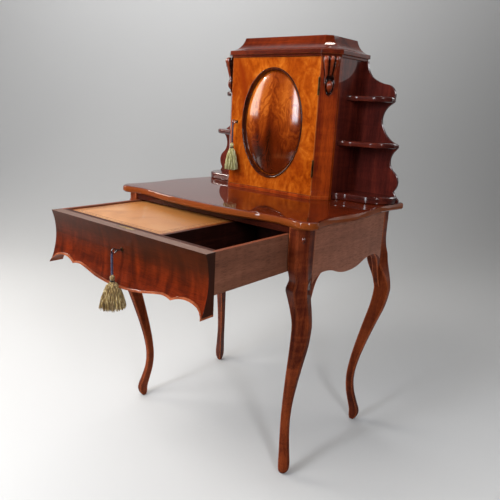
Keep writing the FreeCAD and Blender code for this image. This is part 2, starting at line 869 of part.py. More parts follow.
keep(box("drawer_divider", S.divider_place, box_back, bottom_top,
         S.divider_place + S.divider_thickness, back_front, slide_top), y=drawer_middle)
ledge_top = slide_low - S.slide_gap
ledges = doc.addObject("Part::Compound", "slide_ledges")
ledges.Label = "slide_ledges"
ledges.Links = [
    box("left_ledge", -side_inside, box_back, ledge_top - S.ledge_height,
        S.ledge_width - side_inside, back_front, ledge_top),
    box("right_ledge", S.divider_place - S.ledge_width, box_back, ledge_top - S.ledge_height,
        S.divider_place, back_front, ledge_top),
]
keep(ledges, y=drawer_middle)

# The writing slide runs back on its ledges; its leather is let in flush.
slide_left, slide_right = S.slide_gap - side_inside, S.divider_place - S.slide_gap
slide_front = box_back + S.slide_gap
slide_back = slide_front + S.slide_length
leather = rectangle(slide_left + S.leather_margin, slide_front + S.leather_margin,
                    slide_right - S.leather_margin, slide_back - S.leather_margin)
writing_slide = box("writing_slide", slide_left, slide_front, slide_low,
                    slide_right, slide_back, slide_top)
cut(writing_slide, "XY_Plane", slide_top - S.leather_thickness, S.leather_thickness + 1, leather)
keep(writing_slide, y=drawer_middle)
writing_leather = new_body("writing_leather")
pad(writing_leather, "XY_Plane", slide_top - S.leather_thickness, S.leather_thickness, leather)
keep(writing_leather, y=drawer_middle)


# Cupboard. Its front corners are canted; posts fill the cants.
stile_inside = S.cupboard_half_width - S.cant
cupboard_inside = S.cupboard_half_width - S.side_thickness
side_front = S.cupboard_front + S.cant + S.stile_return
cupboard_back = top_back_reach - S.cupboard_back_set_in
cupboard_floor = S.table_height + S.base_thickness
cupboard_top = cupboard_floor + S.cupboard_height
stile_back = side_front - (cupboard_inside - stile_inside)
door_half = stile_inside - S.door_gap
door_back = S.cupboard_front + S.door_thickness

base = new_body("base_board")
pad(base, "XY_Plane", S.table_height, S.base_thickness, mirrored([
    (0, cupboard_back),
    (S.cupboard_half_width, cupboard_back),
    (S.cupboard_half_width, S.cupboard_front + S.cant),
    (stile_inside, S.cupboard_front),
    (stile_inside, S.cupboard_front - S.base_lip),
    (0, S.cupboard_front - S.base_lip),
]))
keep(base)
for name, level in (("cupboard_bottom", cupboard_floor),
                    ("cupboard_top", cupboard_top - S.board_thickness)):
    board = new_body(name)
    pad(board, "XY_Plane", level, S.board_thickness, mirrored([
        (0, cupboard_back),
        (cupboard_inside, cupboard_back),
        (cupboard_inside, side_front),
        (stile_inside, stile_back),
        (stile_inside, door_back + 1),
        (0, door_back + 1),
    ]))
    keep(board)

door_bottom = cupboard_floor + S.door_gap
door_top = cupboard_top - S.door_gap
door_middle = (door_bottom + door_top) / 2
door_key_height = door_middle + S.door_key_lift
key_x = -(door_half - S.door_key_inset)
door_lock_front = door_back - S.lock_depth
door_bolt_back = door_back - (S.lock_depth - S.bolt_thickness) / 2
door_bolt_front = door_bolt_back - S.bolt_thickness
hinge_x = stile_inside - S.door_gap / 2
hinge_y = S.cupboard_front - S.knuckle_radius - S.hinge_gap
hinge_lows = (door_bottom + S.hinge_inset, door_top - S.hinge_inset - S.hinge_length)

for side, side_name in SIDES:
    keep(box(f"cupboard_side_{side_name}", cupboard_inside * side, side_front, cupboard_floor,
             S.cupboard_half_width * side, cupboard_back, cupboard_top))
    stile = new_body(f"corner_stile_{side_name}")
    pad(stile, "XY_Plane", cupboard_floor, S.cupboard_height, [
        (stile_inside * side, S.cupboard_front),
        (S.cupboard_half_width * side, S.cupboard_front + S.cant),
        (S.cupboard_half_width * side, side_front),
        (cupboard_inside * side, side_front),
        (stile_inside * side, stile_back),
    ])
    if side < 0:
        cut(stile, "XY_Plane", door_key_height - S.bolt_half_width - 1, S.bolt_half_width * 2 + 2,
            rectangle(-(stile_inside + S.bolt_rise + 1.5), door_bolt_front - 1,
                      -stile_inside + 1, door_bolt_back + 1))
    else:
        for low in hinge_lows:
            cut(stile, "XY_Plane", low, S.hinge_length,
                rectangle(stile_inside - 1, S.cupboard_front - 1, stile_inside + S.hinge_leaf,
                          S.cupboard_front + S.hinge_leaf_width))
    keep(stile)

inner_shelf_low = cupboard_floor + S.inner_shelf_rise
keep(box("inner_shelf", -cupboard_inside, side_front, inner_shelf_low,
         cupboard_inside, cupboard_back, inner_shelf_low + S.board_thickness))

# The back is one board behind cupboard and shelves alike, sawn to a shaped outline.
middle_low = S.table_height + S.middle_shelf_rise
upper_low = S.table_height + S.upper_shelf_rise
middle_top = middle_low + S.shelf_thickness
upper_top = upper_low + S.shelf_thickness
base_reach = S.top_half_width - S.base_shelf_set_in
middle_reach = S.top_half_width - S.middle_shelf_set_in
upper_reach = S.top_half_width - S.upper_shelf_set_in
lobe_reach = S.top_half_width - S.lower_lobe_set_in
lower_waist = S.top_half_width - S.lower_waist_set_in
upper_waist = S.top_half_width - S.upper_waist_set_in
neck_reach = S.cupboard_half_width + S.neck_proud
lobe_room = middle_low - S.table_height - S.base_shelf_thickness
upper_room = upper_low - middle_top
lobe_foot = S.table_height + S.base_shelf_thickness + lobe_room * 0.09
lobe_end = S.table_height + S.base_shelf_thickness + lobe_room * 0.52
lobe_neck = base_reach * 0.96
back_board = new_body("back_board")
pad(back_board, "XZ_Plane", -(cupboard_back + S.back_thickness), S.back_thickness, mirrored([
    (0, S.table_height),
    (base_reach + 3, S.table_height),
    (base_reach + 3, S.table_height + S.base_shelf_thickness * 0.5,
     (lobe_neck + 3, lobe_foot - 6)),
    (lobe_neck, lobe_foot, (lobe_reach, lobe_foot + lobe_room * 0.24)),
    (lobe_reach - 18, lobe_end, (lower_waist, lobe_end + lobe_room * 0.23)),
    (middle_reach - 7, middle_low - 6),
    (middle_reach, middle_low + 3),
    (middle_reach, middle_top - 4,
     (upper_waist + 25, middle_top + upper_room * 0.13)),
    (upper_waist + 9, middle_top + upper_room * 0.32,
     (upper_waist, middle_top + upper_room * 0.62)),
    (upper_reach - 8, upper_low - 4),
    (upper_reach, upper_low + 3),
    (upper_reach, upper_top - 2, (upper_reach - 6, upper_top + 23)),
    (upper_reach - 25, upper_top + 35, (upper_reach - 51, upper_top + 41)),
    (neck_reach + 23, upper_top + 53, (neck_reach + 5, upper_top + S.neck_rise)),
    (neck_reach, cupboard_top),
    (0, cupboard_top),
]))
keep(back_board)


def side_shelf(name, side, level, thickness, reach, front, turn):
    """An open shelf between the cupboard's side and the shaped back: its front edge
    sweeps in from the cupboard and turns back in a round end. Turn is the share of the
    depth at which the end turns back. The edge is rounded above and below."""
    inner, back = S.cupboard_half_width, cupboard_back

    def plan(inset):
        tip, lip = reach - inset, front + inset
        run, depth = tip - inner, back - lip
        return [
            (inner * side, back),
            (inner * side, lip, ((inner + run * 0.09) * side, lip + depth * 0.14)),
            ((inner + run * 0.24) * side, lip + depth * 0.22),
            ((inner + run * 0.6) * side, lip + depth * turn,
             ((tip - run * 0.11) * side, lip + depth * (turn + 0.2))),
            (tip * side, back - depth * 0.15),
            (tip * side, back),
        ]

    shelf = new_body(name)
    edge = S.shelf_edge_round
    loft(shelf, [
        sketch_of(shelf, "XY_Plane", level + rise, plan(edge * share))
        for rise, share in ((length(0), 1), (edge * 0.5, 0.2), (thickness - edge, 0),
                            (thickness - edge * 0.3, 0.3), (thickness, 1))
    ], ruled=True)
    keep(shelf)


for side, side_name in SIDES:
    side_shelf(f"base_shelf_{side_name}", side, S.table_height, S.base_shelf_thickness,
               base_reach, S.base_shelf_front, 0.25)
    side_shelf(f"middle_shelf_{side_name}", side, middle_low, S.shelf_thickness,
               middle_reach, S.middle_shelf_front, 0.36)
    side_shelf(f"upper_shelf_{side_name}", side, upper_low, S.shelf_thickness,
               upper_reach, S.upper_shelf_front, 0.38)

# Cornice: an ovolo, a bead and a deep cove, mitred round the canted corners.
MITRE = round(math.tan(math.radians(22.5)), 6)
cornice_back = cupboard_back + S.cornice_back_proud


def cornice_plan(proud):
    return mirrored([
        (0, cornice_back),
        (S.cupboard_half_width + proud, cornice_back),
        (S.cupboard_half_width + proud, S.cupboard_front + S.cant - proud * MITRE),
        (stile_inside + proud * MITRE, S.cupboard_front - proud),
        (0, S.cupboard_front - proud),
    ])


cornice = new_body("cornice")
bead_low = cupboard_top + S.cornice_ovolo
cove_low = bead_low + S.cornice_bead
pad(cornice, "XY_Plane", cupboard_top, S.cornice_ovolo, cornice_plan(S.cornice_ovolo_proud))
pad(cornice, "XY_Plane", bead_low, S.cornice_bead, cornice_plan(S.cornice_bead_proud))
cove_start = S.cornice_bead_proud - 2
cove_run = S.cornice_cove_inset + cove_start
loft(cornice, [
    sketch_of(cornice, "XY_Plane", cove_low + S.cornice_cove * rise,
              cornice_plan(cove_start - cove_run * run))
    for rise, run in ((0, 0), (0.04, 0.15), (0.1, 0.3), (0.2, 0.47), (0.34, 0.63), (0.52, 0.78),
                      (0.75, 0.91), (1, 1))
], ruled=True)
keep(cornice)

# Carved corbels, planted on the cants under the cornice. Each is shaped in its own
# frame: Y is square to the cant, and Z is measured from its point.
for side, side_name in SIDES:
    reach, waist, tall = S.corbel_reach, S.corbel_waist, S.corbel_height
    half, bulb = S.corbel_width / 2, S.corbel_bulb_width / 2
    corbel = new_body(f"corbel_{side_name}")
    pad(corbel, "YZ_Plane", -half, S.corbel_width, [
        (0, 0),
        (-2, tall * 0.06, (-waist * 0.9, tall * 0.17)),
        (-(waist + 1.5), tall * 0.32),
        (-waist, tall * 0.37, (-(waist + 3), tall * 0.53)),
        (-(reach - 1), tall * 0.74, (-(reach + 1), tall * 0.87)),
        (-(reach - 2), tall),
        (0, tall),
    ])
    for hand in (-1, 1):
        cut(corbel, "XZ_Plane", 0, reach + 4, [
            (0, -1),
            ((half + 1) * hand, -1),
            ((half + 1) * hand, tall + 1),
            (half * hand, tall + 1),
            (half * hand, tall * 0.84, (half * 0.84 * hand, tall * 0.66)),
            (bulb * 0.94 * hand, tall * 0.48),
            (bulb * hand, tall * 0.3, (bulb * 0.72 * hand, tall * 0.12)),
            (0, 0),
        ])
    cant_middle = S.cant / 2
    keep(corbel, x=(stile_inside + cant_middle) * side, y=middle + S.cupboard_front + cant_middle,
         z=cupboard_top - tall, turn=Rotation(Vector(0, 0, 1), 45 * side))

# Door: a flat board with an oval sinking, an oval moulding and a domed panel.
door = new_body("door_frame")
pad(door, "XZ_Plane", -door_back, S.door_thickness,
    rectangle(-door_half, door_bottom, door_half, door_top))
recess = S.cupboard_front + S.oval_recess
oval_half_width = door_half - S.oval_side_margin
oval_half_height = (door_top - door_bottom) / 2 - S.oval_end_margin
oval_height = door_middle + S.oval_lift
cut(door, "XZ_Plane", -recess, S.oval_recess + 1,
    ellipse(oval_half_width, oval_half_height, oval_height))
lock_reach = -door_half + S.door_lock_width
lock_low = door_key_height - S.door_lock_half_height
lock_high = door_key_height + S.door_lock_half_height
cut(door, "XY_Plane", lock_low - lock_gap, (S.door_lock_half_height + lock_gap) * 2,
    rectangle(-door_half - 1, door_lock_front - lock_gap, lock_reach + lock_gap, door_back + 1))
cut(door, "XZ_Plane", -door_back, S.door_thickness + 1,
    circle(key_x, door_key_height, keyhole_radius))
door_collar_back = S.cupboard_front + 5
cut(door, "XZ_Plane", -door_collar_back, 6, circle(key_x, door_key_height, S.escutcheon_radius))
for low in hinge_lows:
    cut(door, "XY_Plane", low, S.hinge_length,
        rectangle(door_half - S.hinge_leaf, S.cupboard_front - 1, door_half + 1,
                  S.cupboard_front + S.hinge_leaf_width))
keep(door)

moulding = new_body("oval_moulding")
face = S.cupboard_front - S.moulding_proud
pad(moulding, "XZ_Plane", -recess, S.oval_recess + S.moulding_proud,
    ellipse(oval_half_width, oval_half_height, oval_height))
sight_width = oval_half_width - S.moulding_width
sight_height = oval_half_height - S.moulding_width
bead_share = S.moulding_width * 0.35
loft(moulding, [
    sketch_of(moulding, "XZ_Plane", -recess, ellipse(sight_width, sight_height, oval_height)),
    sketch_of(moulding, "XZ_Plane", -face,
              ellipse(oval_half_width - bead_share, oval_half_height - bead_share, oval_height)),
], kind="SubtractiveLoft", ruled=True)
keep(moulding)

# The panel is domed: rings of one oval that shrink as they rise, and a flat crown.
panel = new_body("oval_panel")
loft(panel, [
    sketch_of(panel, "XZ_Plane", S.dome_rise * rise - recess,
              ellipse((sight_width - S.panel_gap) * share, (sight_height - S.panel_gap) * share,
                      oval_height))
    for rise, share in ((0, 1), (0.45, 0.78), (0.82, 0.46), (1, 0.12))
], ruled=True)
keep(panel)

keep(lock_case("door_lock", -door_half, door_lock_front, lock_low, lock_reach, door_back, lock_high,
               key_x, door_key_height,
               ((-door_half - 1, door_bolt_front - lock_gap,
                 door_key_height - S.bolt_half_width - lock_gap),
                (key_x, door_bolt_back + lock_gap,
                 door_key_height + S.bolt_half_width + lock_gap))))
bolt_end = -door_half + 0.5
keep(box("door_lock_bolt", bolt_end, door_bolt_front, door_key_height - S.bolt_half_width,
         bolt_end + S.door_key_inset - S.lock_chamber_radius - 1.5, door_bolt_back,
         door_key_height + S.bolt_half_width))
keep(escutcheon("door_escutcheon", S.cupboard_front - 1, door_collar_back),
     x=key_x, z=door_key_height)
door_key_end = S.cupboard_front - S.key_reach
keep(lock_key("door_key", door_bolt_back - lock_gap, door_key_end), x=key_x, z=door_key_height)
hang_tassel("door_tassel", key_x, door_key_end, door_key_height, S.door_cord_length,
            S.door_tassel_spread, middle)

# Butt hinges: a leaf on the door with two knuckles, and a plate on the stile with the
# middle knuckle and the pin. The two leaves are one sub-part, and so are the plates.
hinge_halves = {"hinge_leaves": [], "hinge_plates": []}
for low, place_name in zip(hinge_lows, ("lower", "upper")):
    third = S.hinge_length / 3
    gap = S.hinge_gap
    leaf_back = S.cupboard_front + S.hinge_leaf_width
    leaf = new_body(f"hinge_{place_name}_leaf")
    pad(leaf, "XY_Plane", low, S.hinge_length,
        rectangle(door_half - S.hinge_leaf, S.cupboard_front, door_half, leaf_back))
    plate = new_body(f"hinge_{place_name}_plate")
    pad(plate, "XY_Plane", low, S.hinge_length,
        rectangle(stile_inside, S.cupboard_front, stile_inside + S.hinge_leaf, leaf_back))
    for part, start, tall, x_low in (
            (leaf, low, third - gap, door_half - S.hinge_leaf),
            (leaf, low + third * 2 + gap, third - gap, door_half - S.hinge_leaf),
            (plate, low + third, third, stile_inside)):
        pad(part, "XY_Plane", start, tall,
            rectangle(x_low, hinge_y, x_low + S.hinge_leaf, S.cupboard_front))
        pad(part, "XY_Plane", start, tall, near_round(hinge_x, hinge_y, S.knuckle_radius))
    cut(leaf, "XY_Plane", low - 1, S.hinge_length + 2,
        near_round(hinge_x, hinge_y, S.pin_radius + gap / 2))
    pad(plate, "XY_Plane", low, S.hinge_length, near_round(hinge_x, hinge_y, S.pin_radius))
    hinge_halves["hinge_leaves"].append(leaf)
    hinge_halves["hinge_plates"].append(plate)
for name, halves in hinge_halves.items():
    pair = doc.addObject("Part::Compound", name)
    pair.Label = name
    pair.Links = halves
    keep(pair)

doc.recompute()

for thing in doc.Objects:
    if "Invalid" in thing.State or "Error" in thing.State:
        raise RuntimeError(f"{thing.Label} has failed: {thing.State}")
    if thing.TypeId == "PartDesign::Pocket":
        if not thing.Shape.Volume < thing.BaseFeature.Shape.Volume - 1e-6:
            raise RuntimeError(f"{thing.Label} cuts nothing")
for piece in pieces:
    shape = piece.Shape
    if shape.isNull() or not shape.isValid() or not shape.Solids:
        raise RuntimeError(f"{piece.Label} has no valid solid")

os.makedirs("parts", exist_ok=True)
for piece in pieces:
    piece.Shape.exportStep(f"parts/{piece.Label}.step")
print(len(pieces), "sub-parts")
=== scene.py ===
import math
import random

import bmesh
import bpy
from mathutils import Matrix, Vector


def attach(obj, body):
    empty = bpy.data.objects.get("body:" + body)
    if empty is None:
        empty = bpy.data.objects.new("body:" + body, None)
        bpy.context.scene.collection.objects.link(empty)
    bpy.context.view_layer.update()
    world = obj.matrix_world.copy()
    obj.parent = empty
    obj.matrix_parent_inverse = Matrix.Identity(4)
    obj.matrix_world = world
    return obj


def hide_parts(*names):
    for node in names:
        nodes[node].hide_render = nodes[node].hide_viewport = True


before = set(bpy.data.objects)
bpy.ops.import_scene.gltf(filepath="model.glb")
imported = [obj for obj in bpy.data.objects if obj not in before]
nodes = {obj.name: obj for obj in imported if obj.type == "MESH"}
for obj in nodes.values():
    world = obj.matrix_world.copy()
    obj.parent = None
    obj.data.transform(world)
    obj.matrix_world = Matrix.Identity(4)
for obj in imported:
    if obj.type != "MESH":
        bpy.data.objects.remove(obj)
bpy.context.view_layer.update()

scene = bpy.context.scene


# The legs: solid mahogany, sawn to a cabriole curve and carved, stained a dark red-brown
# and French polished. They run up into the corners of the frame, which is glued to them.
def tone(red, green, blue):
    """A colour given in the usual 0 to 255, as the light values that shaders take."""
    return tuple(
        (v / 255 / 12.92 if v / 255 <= 0.04045 else ((v / 255 + 0.055) / 1.055) ** 2.4)
        for v in (red, green, blue)) + (1,)


class Finish:
    """A material and short ways to add and join its nodes."""

    def __init__(self, name):
        self.material = bpy.data.materials.new(name)
        self.material.use_nodes = True
        self.tree = self.material.node_tree
        self.shader = self.tree.nodes["Principled BSDF"]
        self.place = self.tree.nodes.new("ShaderNodeTexCoord").outputs["Object"]

    def add(self, kind, **settings):
        node = self.tree.nodes.new(f"ShaderNode{kind}")
        for name, value in settings.items():
            setattr(node, name, value)
        return node

    def join(self, source, target):
        self.tree.links.new(source, target)

    def set(self, **values):
        for name, value in values.items():
            self.shader.inputs[name.replace("_", " ")].default_value = value

    def paint(self, colour):
        """Gives the shader a pattern for its colour."""
        self.join(colour, self.shader.inputs["Base Color"])

    def painted(self):
        """The pattern that colours the shader so far."""
        return self.shader.inputs["Base Color"].links[0].from_socket

    def parts(self, vector):
        """A vector's X, Y and Z, each on its own."""
        node = self.add("SeparateXYZ")
        self.join(vector, node.inputs[0])
        return node.outputs

    def dot(self, first, second):
        """How far one vector reaches along another, which may be fixed."""
        node = self.add("VectorMath", operation="DOT_PRODUCT")
        self.join(first, node.inputs[0])
        if hasattr(second, "links"):
            self.join(second, node.inputs[1])
        else:
            node.inputs[1].default_value = second
        return node.outputs["Value"]

    def reckon(self, operation, value, other=None):
        node = self.add("Math", operation=operation)
        self.join(value, node.inputs[0])
        if hasattr(other, "links"):
            self.join(other, node.inputs[1])
        elif other is not None:
            node.inputs[1].default_value = other
        return node.outputs[0]

    def mapped(self, scale, rotation=(0, 0, 0), location=(0, 0, 0)):
        node = self.add("Mapping")
        node.inputs["Scale"].default_value = scale
        node.inputs["Rotation"].default_value = rotation
        node.inputs["Location"].default_value = location
        self.join(self.place, node.inputs["Vector"])
        return node.outputs["Vector"]

    def noise(self, vector, detail=4, roughness=0.55, distortion=0, scale=1):
        node = self.add("TexNoise")
        node.inputs["Scale"].default_value = scale
        node.inputs["Detail"].default_value = detail
        node.inputs["Roughness"].default_value = roughness
        node.inputs["Distortion"].default_value = distortion
        self.join(vector, node.inputs["Vector"])
        return node.outputs["Fac"]

    def sum(self, *terms):
        """Adds up values, each given with its share."""
        total = None
        for value, share in terms:
            node = self.add("Math", operation="MULTIPLY_ADD")
            self.join(value, node.inputs[0])
            node.inputs[1].default_value = share
            node.inputs[2].default_value = 0
            if total is not None:
                self.join(total, node.inputs[2])
            total = node.outputs[0]
        return total

    def between(self, value, low, high):
        """Stretches a value so that low becomes 0 and high becomes 1."""
        node = self.add("MapRange")
        node.inputs["From Min"].default_value = low
        node.inputs["From Max"].default_value = high
        self.join(value, node.inputs["Value"])
        return node.outputs["Result"]

    def ramp(self, value, *stops):
        node = self.add("ValToRGB")
        band = node.color_ramp
        band.elements[0].position, band.elements[0].color = stops[0]
        band.elements[1].position, band.elements[1].color = stops[-1]
        for place, colour in stops[1:-1]:
            band.elements.new(place).color = colour
        self.join(value, node.inputs["Fac"])
        return node.outputs["Color"]

    def mix(self, amount, first, second, kind="MIX"):
        node = self.add("Mix", data_type="RGBA", blend_type=kind)
        for socket, value in ((node.inputs["Factor"], amount), (node.inputs["A"], first),
                              (node.inputs["B"], second)):
            if hasattr(value, "links"):
                self.join(value, socket)
            else:
                socket.default_value = value
        return node.outputs["Result"]

    def bump(self, value, strength, distance):
        node = self.add("Bump")
        node.inputs["Strength"].default_value = strength
        node.inputs["Distance"].default_value = distance
        self.join(value, node.inputs["Height"])
        self.join(node.outputs["Normal"], self.shader.inputs["Normal"])


def dress(piece, finish):
    """Gives a piece one finish all over."""
    piece.data.materials.clear()
    piece.data.materials.append(finish.material)


def piece_from(work, name, body, finish, smooth=True):
    """Ends a piece's modelling: it becomes an object that rides on a body."""
    mesh = bpy.data.meshes.new(name)
    if smooth:
        for face in work.faces:
            face.smooth = True
    work.to_mesh(mesh)
    work.free()
    piece = bpy.data.objects.new(name, mesh)
    scene.collection.objects.link(piece)
    dress(piece, finish)
    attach(piece, body)
    return piece


def polished_wood(name, grain, dark, middle, light, figure=1.0, dullness=0.1):
    """French-polished mahogany. Grain is the axis that the fibres follow."""
    finish = Finish(name)
    along = "XYZ".index(grain)

    def scale(lengthways, crossways):
        return tuple(lengthways if axis == along else crossways for axis in range(3))

    streaks = finish.noise(finish.mapped(scale(2.2, 46)), detail=6, roughness=0.62, distortion=0.5)
    clouds = finish.noise(finish.mapped(scale(3.0, 9)), detail=3, distortion=0.8)
    ripple = finish.noise(finish.mapped(scale(34, 7)), detail=2, distortion=1.2)
    pores = finish.noise(finish.mapped(scale(45, 900)), detail=2, roughness=0.7)
    value = finish.sum((streaks, 0.5), (clouds, 0.34 * figure), (ripple, 0.16 * figure))
    spread = finish.between(value, 0.36 - 0.06 * figure, 0.62 + 0.08 * figure)
    colour = finish.ramp(spread, (0.05, dark), (0.5, middle), (0.95, light))
    flecks = finish.ramp(pores, (0.34, (0.45, 0.4, 0.4, 1)), (0.5, (1, 1, 1, 1)))
    finish.paint(finish.mix(0.8, colour, flecks, "MULTIPLY"))
    finish.set(Roughness=0.5, Specular_IOR_Level=0.04, Coat_Weight=0.7, Coat_IOR=1.42,
               Coat_Roughness=dullness * 0.35)
    finish.bump(streaks, 0.02, 0.0006)
    return finish


def worn_and_highlit_edges(finish, colour, amount, reach):
    """Lightens every arris, as far as it reaches: partly the stain rubbed thinner, partly a painted
    highlight along the edge.
    """
    rounded = finish.add("Bevel", samples=6)
    rounded.inputs["Radius"].default_value = reach
    alike = finish.dot(rounded.outputs[0], finish.add("NewGeometry").outputs["Normal"])
    rubbed = finish.between(alike, 0.998, 0.94)
    finish.paint(finish.mix(finish.sum((rubbed, amount)), finish.painted(), colour))


# A leg's forms from the floor up: height, place of the corner's flat, depth behind it,
# width, width of the flat, how far back the side corners lie, and lean to the table's end.
sole = (0, -0.01656, 0.014, 0.017, 0.007, 0.005, 0)
toe = (0.035, -0.00206, 0.0335, 0.0346, 0.015, 0.0098, 0)
ankle = (0.158, -0.03006, 0.0268, 0.029, 0.012, 0.0085, 0)
knee = (0.466, 0.04894, 0.050, 0.054, 0.029, 0.0125, 0.0095)
ear = (0.558, 0.03394, 0.06313, 0.0662, 0.033, 0.03394, -0.0002)
swell = (0.583, 0.02944, 0.06338, 0.0590, 0.030, 0.02944, 0.0030)
block_foot = (0.650, 0.01894, 0.05288, 0.06788, 0.030, 0.01894, 0)
block_top = (0.720,) + block_foot[1:]


def part_way(low, high, rise, change):
    """A form between two others: rise of the height, and change of everything else."""
    height = low[0] + (high[0] - low[0]) * rise
    return (height,) + tuple(a + (b - a) * change for a, b in zip(low[1:], high[1:]))


leg_forms = [
    sole, part_way(sole, toe, 0.38, 0.74), toe,
    part_way(toe, ankle, 0.28, 0.4), part_way(toe, ankle, 0.62, 0.84), ankle,
    part_way(ankle, knee, 0.17, 0.085), part_way(ankle, knee, 0.38, 0.3),
    part_way(ankle, knee, 0.63, 0.62), part_way(ankle, knee, 0.83, 0.885), knee,
    part_way(knee, ear, 0.22, 0.08), part_way(knee, ear, 0.5, 0.36), part_way(knee, ear, 0.78, 0.74),
    ear, swell, part_way(swell, block_foot, 0.35, 0.6), part_way(swell, block_foot, 0.7, 0.92),
    block_foot, block_top]


def flowing(forms, steps):
    """Draws the forms out into one flowing line, as a spokeshave leaves it."""
    rows = []
    for number, (low, high) in enumerate(zip(forms, forms[1:])):
        before = forms[max(number - 1, 0)]
        after = forms[min(number + 2, len(forms) - 1)]
        rise = high[0] - low[0]
        for step in range(steps):
            t = step / steps
            row = [low[0] + rise * t]
            for a, b, c, d in zip(before[1:], low[1:], high[1:], after[1:]):
                first = (c - a) / (high[0] - before[0]) * rise
                last = (d - b) / (after[0] - low[0]) * rise
                row.append(b + first * t + (3 * (c - b) - 2 * first - last) * t ** 2
                           + (2 * (b - c) + first + last) * t ** 3)
            rows.append(row)
    rows.append(forms[-1])
    return rows


leg_aside, leg_ahead, frame_middle = 0.3204, 0.2104, 0.1418
knob_height, knob_half_sizes = 0.690, (0.0052, 0.0055, 0.009)


def cabriole_leg(corner, side, end):
    """One leg, worked along its outward diagonal and stood at its corner of the frame."""
    work = bmesh.new()
    hoops = []
    for height, face, depth, width, flat, shoulder, lean in flowing(leg_forms, 5):
        aside = -side * end * lean
        corners = [work.verts.new((x, aside + y, height)) for x, y in (
            (face, flat / 2), (face - shoulder, width / 2), (face - depth, 0),
            (face - shoulder, -width / 2), (face, -flat / 2))]
        hoops.append([work.edges.new((corners[n - 1], corners[n])) for n in range(5)])
    for low, high in zip(hoops, hoops[1:]):
        bmesh.ops.bridge_loops(work, edges=low + high)
    bmesh.ops.contextual_create(work, geom=hoops[0])
    bmesh.ops.contextual_create(work, geom=hoops[-1])
    bmesh.ops.recalc_face_normals(work, faces=work.faces)
    stand = (Matrix.Translation((side * leg_aside, frame_middle + end * leg_ahead, 0))
             @ Matrix.Rotation(math.atan2(end, side), 4, "Z"))
    bmesh.ops.transform(work, verts=work.verts, matrix=stand)
    leg = piece_from(work, f"cabriole_{corner}", "case", leg_wood)
    arris = leg.modifiers.new("arris", "BEVEL")
    arris.width, arris.segments = 0.0026, 3
    arris.limit_method, arris.angle_limit = "ANGLE", math.radians(32)
    leg.modifiers.new("even", "WEIGHTED_NORMAL").weight = 60
    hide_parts(f"leg_{corner}")
    work = bmesh.new()
    bmesh.ops.create_uvsphere(work, u_segments=24, v_segments=14, radius=1, matrix=(
        stand @ Matrix.Translation((block_top[1], 0, knob_height))
        @ Matrix.Diagonal((*knob_half_sizes, 1))))
    piece_from(work, f"leg_knob_{corner}", "case", knob_wood)


leg_wood = polished_wood("dark_leg_mahogany", "Z", tone(26, 8, 4), tone(76, 27, 12), tone(132, 58, 26),
                         figure=1.3)
knob_wood = polished_wood("turned_knob_mahogany", "Z", tone(60, 22, 10), tone(104, 42, 20),
                          tone(140, 62, 30), dullness=0.5)
knob_wood.set(Coat_Weight=1, Coat_IOR=2)
# Painted highlight: the legs' arrises are painted lighter, besides the stain rubbed thin there.
worn_and_highlit_edges(leg_wood, tone(204, 108, 62), 0.7, 0.006)
for side, side_name in ((-1, "left"), (1, "right")):
    cabriole_leg(f"front_{side_name}", side, -1)
    cabriole_leg(f"back_{side_name}", side, 1)


# The knee brackets: small blocks glued under each side apron's ends, sawn to carry the
# apron's curve down into the leg.
bracket_edge = [
    (-0.004, 0.600), (-0.004, 0.5925), (-0.013, 0.5855), (-0.022, 0.575), (-0.029, 0.562),
    (-0.035, 0.546), (-0.041, 0.528), (-0.047, 0.510), (-0.055, 0.492), (-0.0635, 0.476),
    (-0.071, 0.462), (-0.078, 0.462), (-0.078, 0.600)]
bracket_inside, bracket_thickness = 0.3255, 0.0184


def knee_bracket(side, end, side_name, end_name):
    """One bracket, drawn for the front and turned about the frame's middle for the back."""
    work = bmesh.new()
    corners = [work.verts.new((side * bracket_inside, frame_middle - end * (y - frame_middle), z))
               for y, z in bracket_edge]
    face = work.faces.new(corners)
    grown = bmesh.ops.extrude_face_region(work, geom=[face])["geom"]
    bmesh.ops.translate(work, vec=(side * bracket_thickness, 0, 0),
                        verts=[v for v in grown if isinstance(v, bmesh.types.BMVert)])
    bmesh.ops.recalc_face_normals(work, faces=work.faces)
    bracket = piece_from(work, f"knee_bracket_{end_name}_{side_name}", "case",
                         leg_wood, smooth=False)
    arris = bracket.modifiers.new("arris", "BEVEL")
    arris.width, arris.segments = 0.0012, 2
    arris.limit_method, arris.angle_limit = "ANGLE", math.radians(40)


for side, side_name in ((-1, "left"), (1, "right")):
    knee_bracket(side, -1, side_name, "front")
    knee_bracket(side, 1, side_name, "back")


# The frame between the legs: shaped side aprons, a plain back apron and a front rail of
# mahogany, with runners and kickers of bare wood that the drawer slides between.
def soften(name, finish, width=0.0008, flat=True, angle=28):
    """Finishes a sawn node: its edges are eased as sandpaper leaves them."""
    piece = nodes[name]
    piece.modifiers.new("weld", "WELD").merge_threshold = 0.00002
    if flat:
        level = piece.modifiers.new("level", "DECIMATE")
        level.decimate_type = "DISSOLVE"
        level.angle_limit = math.radians(0.4)
    edge = piece.modifiers.new("edge", "BEVEL")
    edge.width = width
    edge.segments = 2
    edge.limit_method = "ANGLE"
    edge.angle_limit = math.radians(angle)
    for face in piece.data.polygons:
        face.use_smooth = True
    even = piece.modifiers.new("even", "WEIGHTED_NORMAL")
    even.keep_sharp = False
    even.weight = 60
    dress(piece, finish)
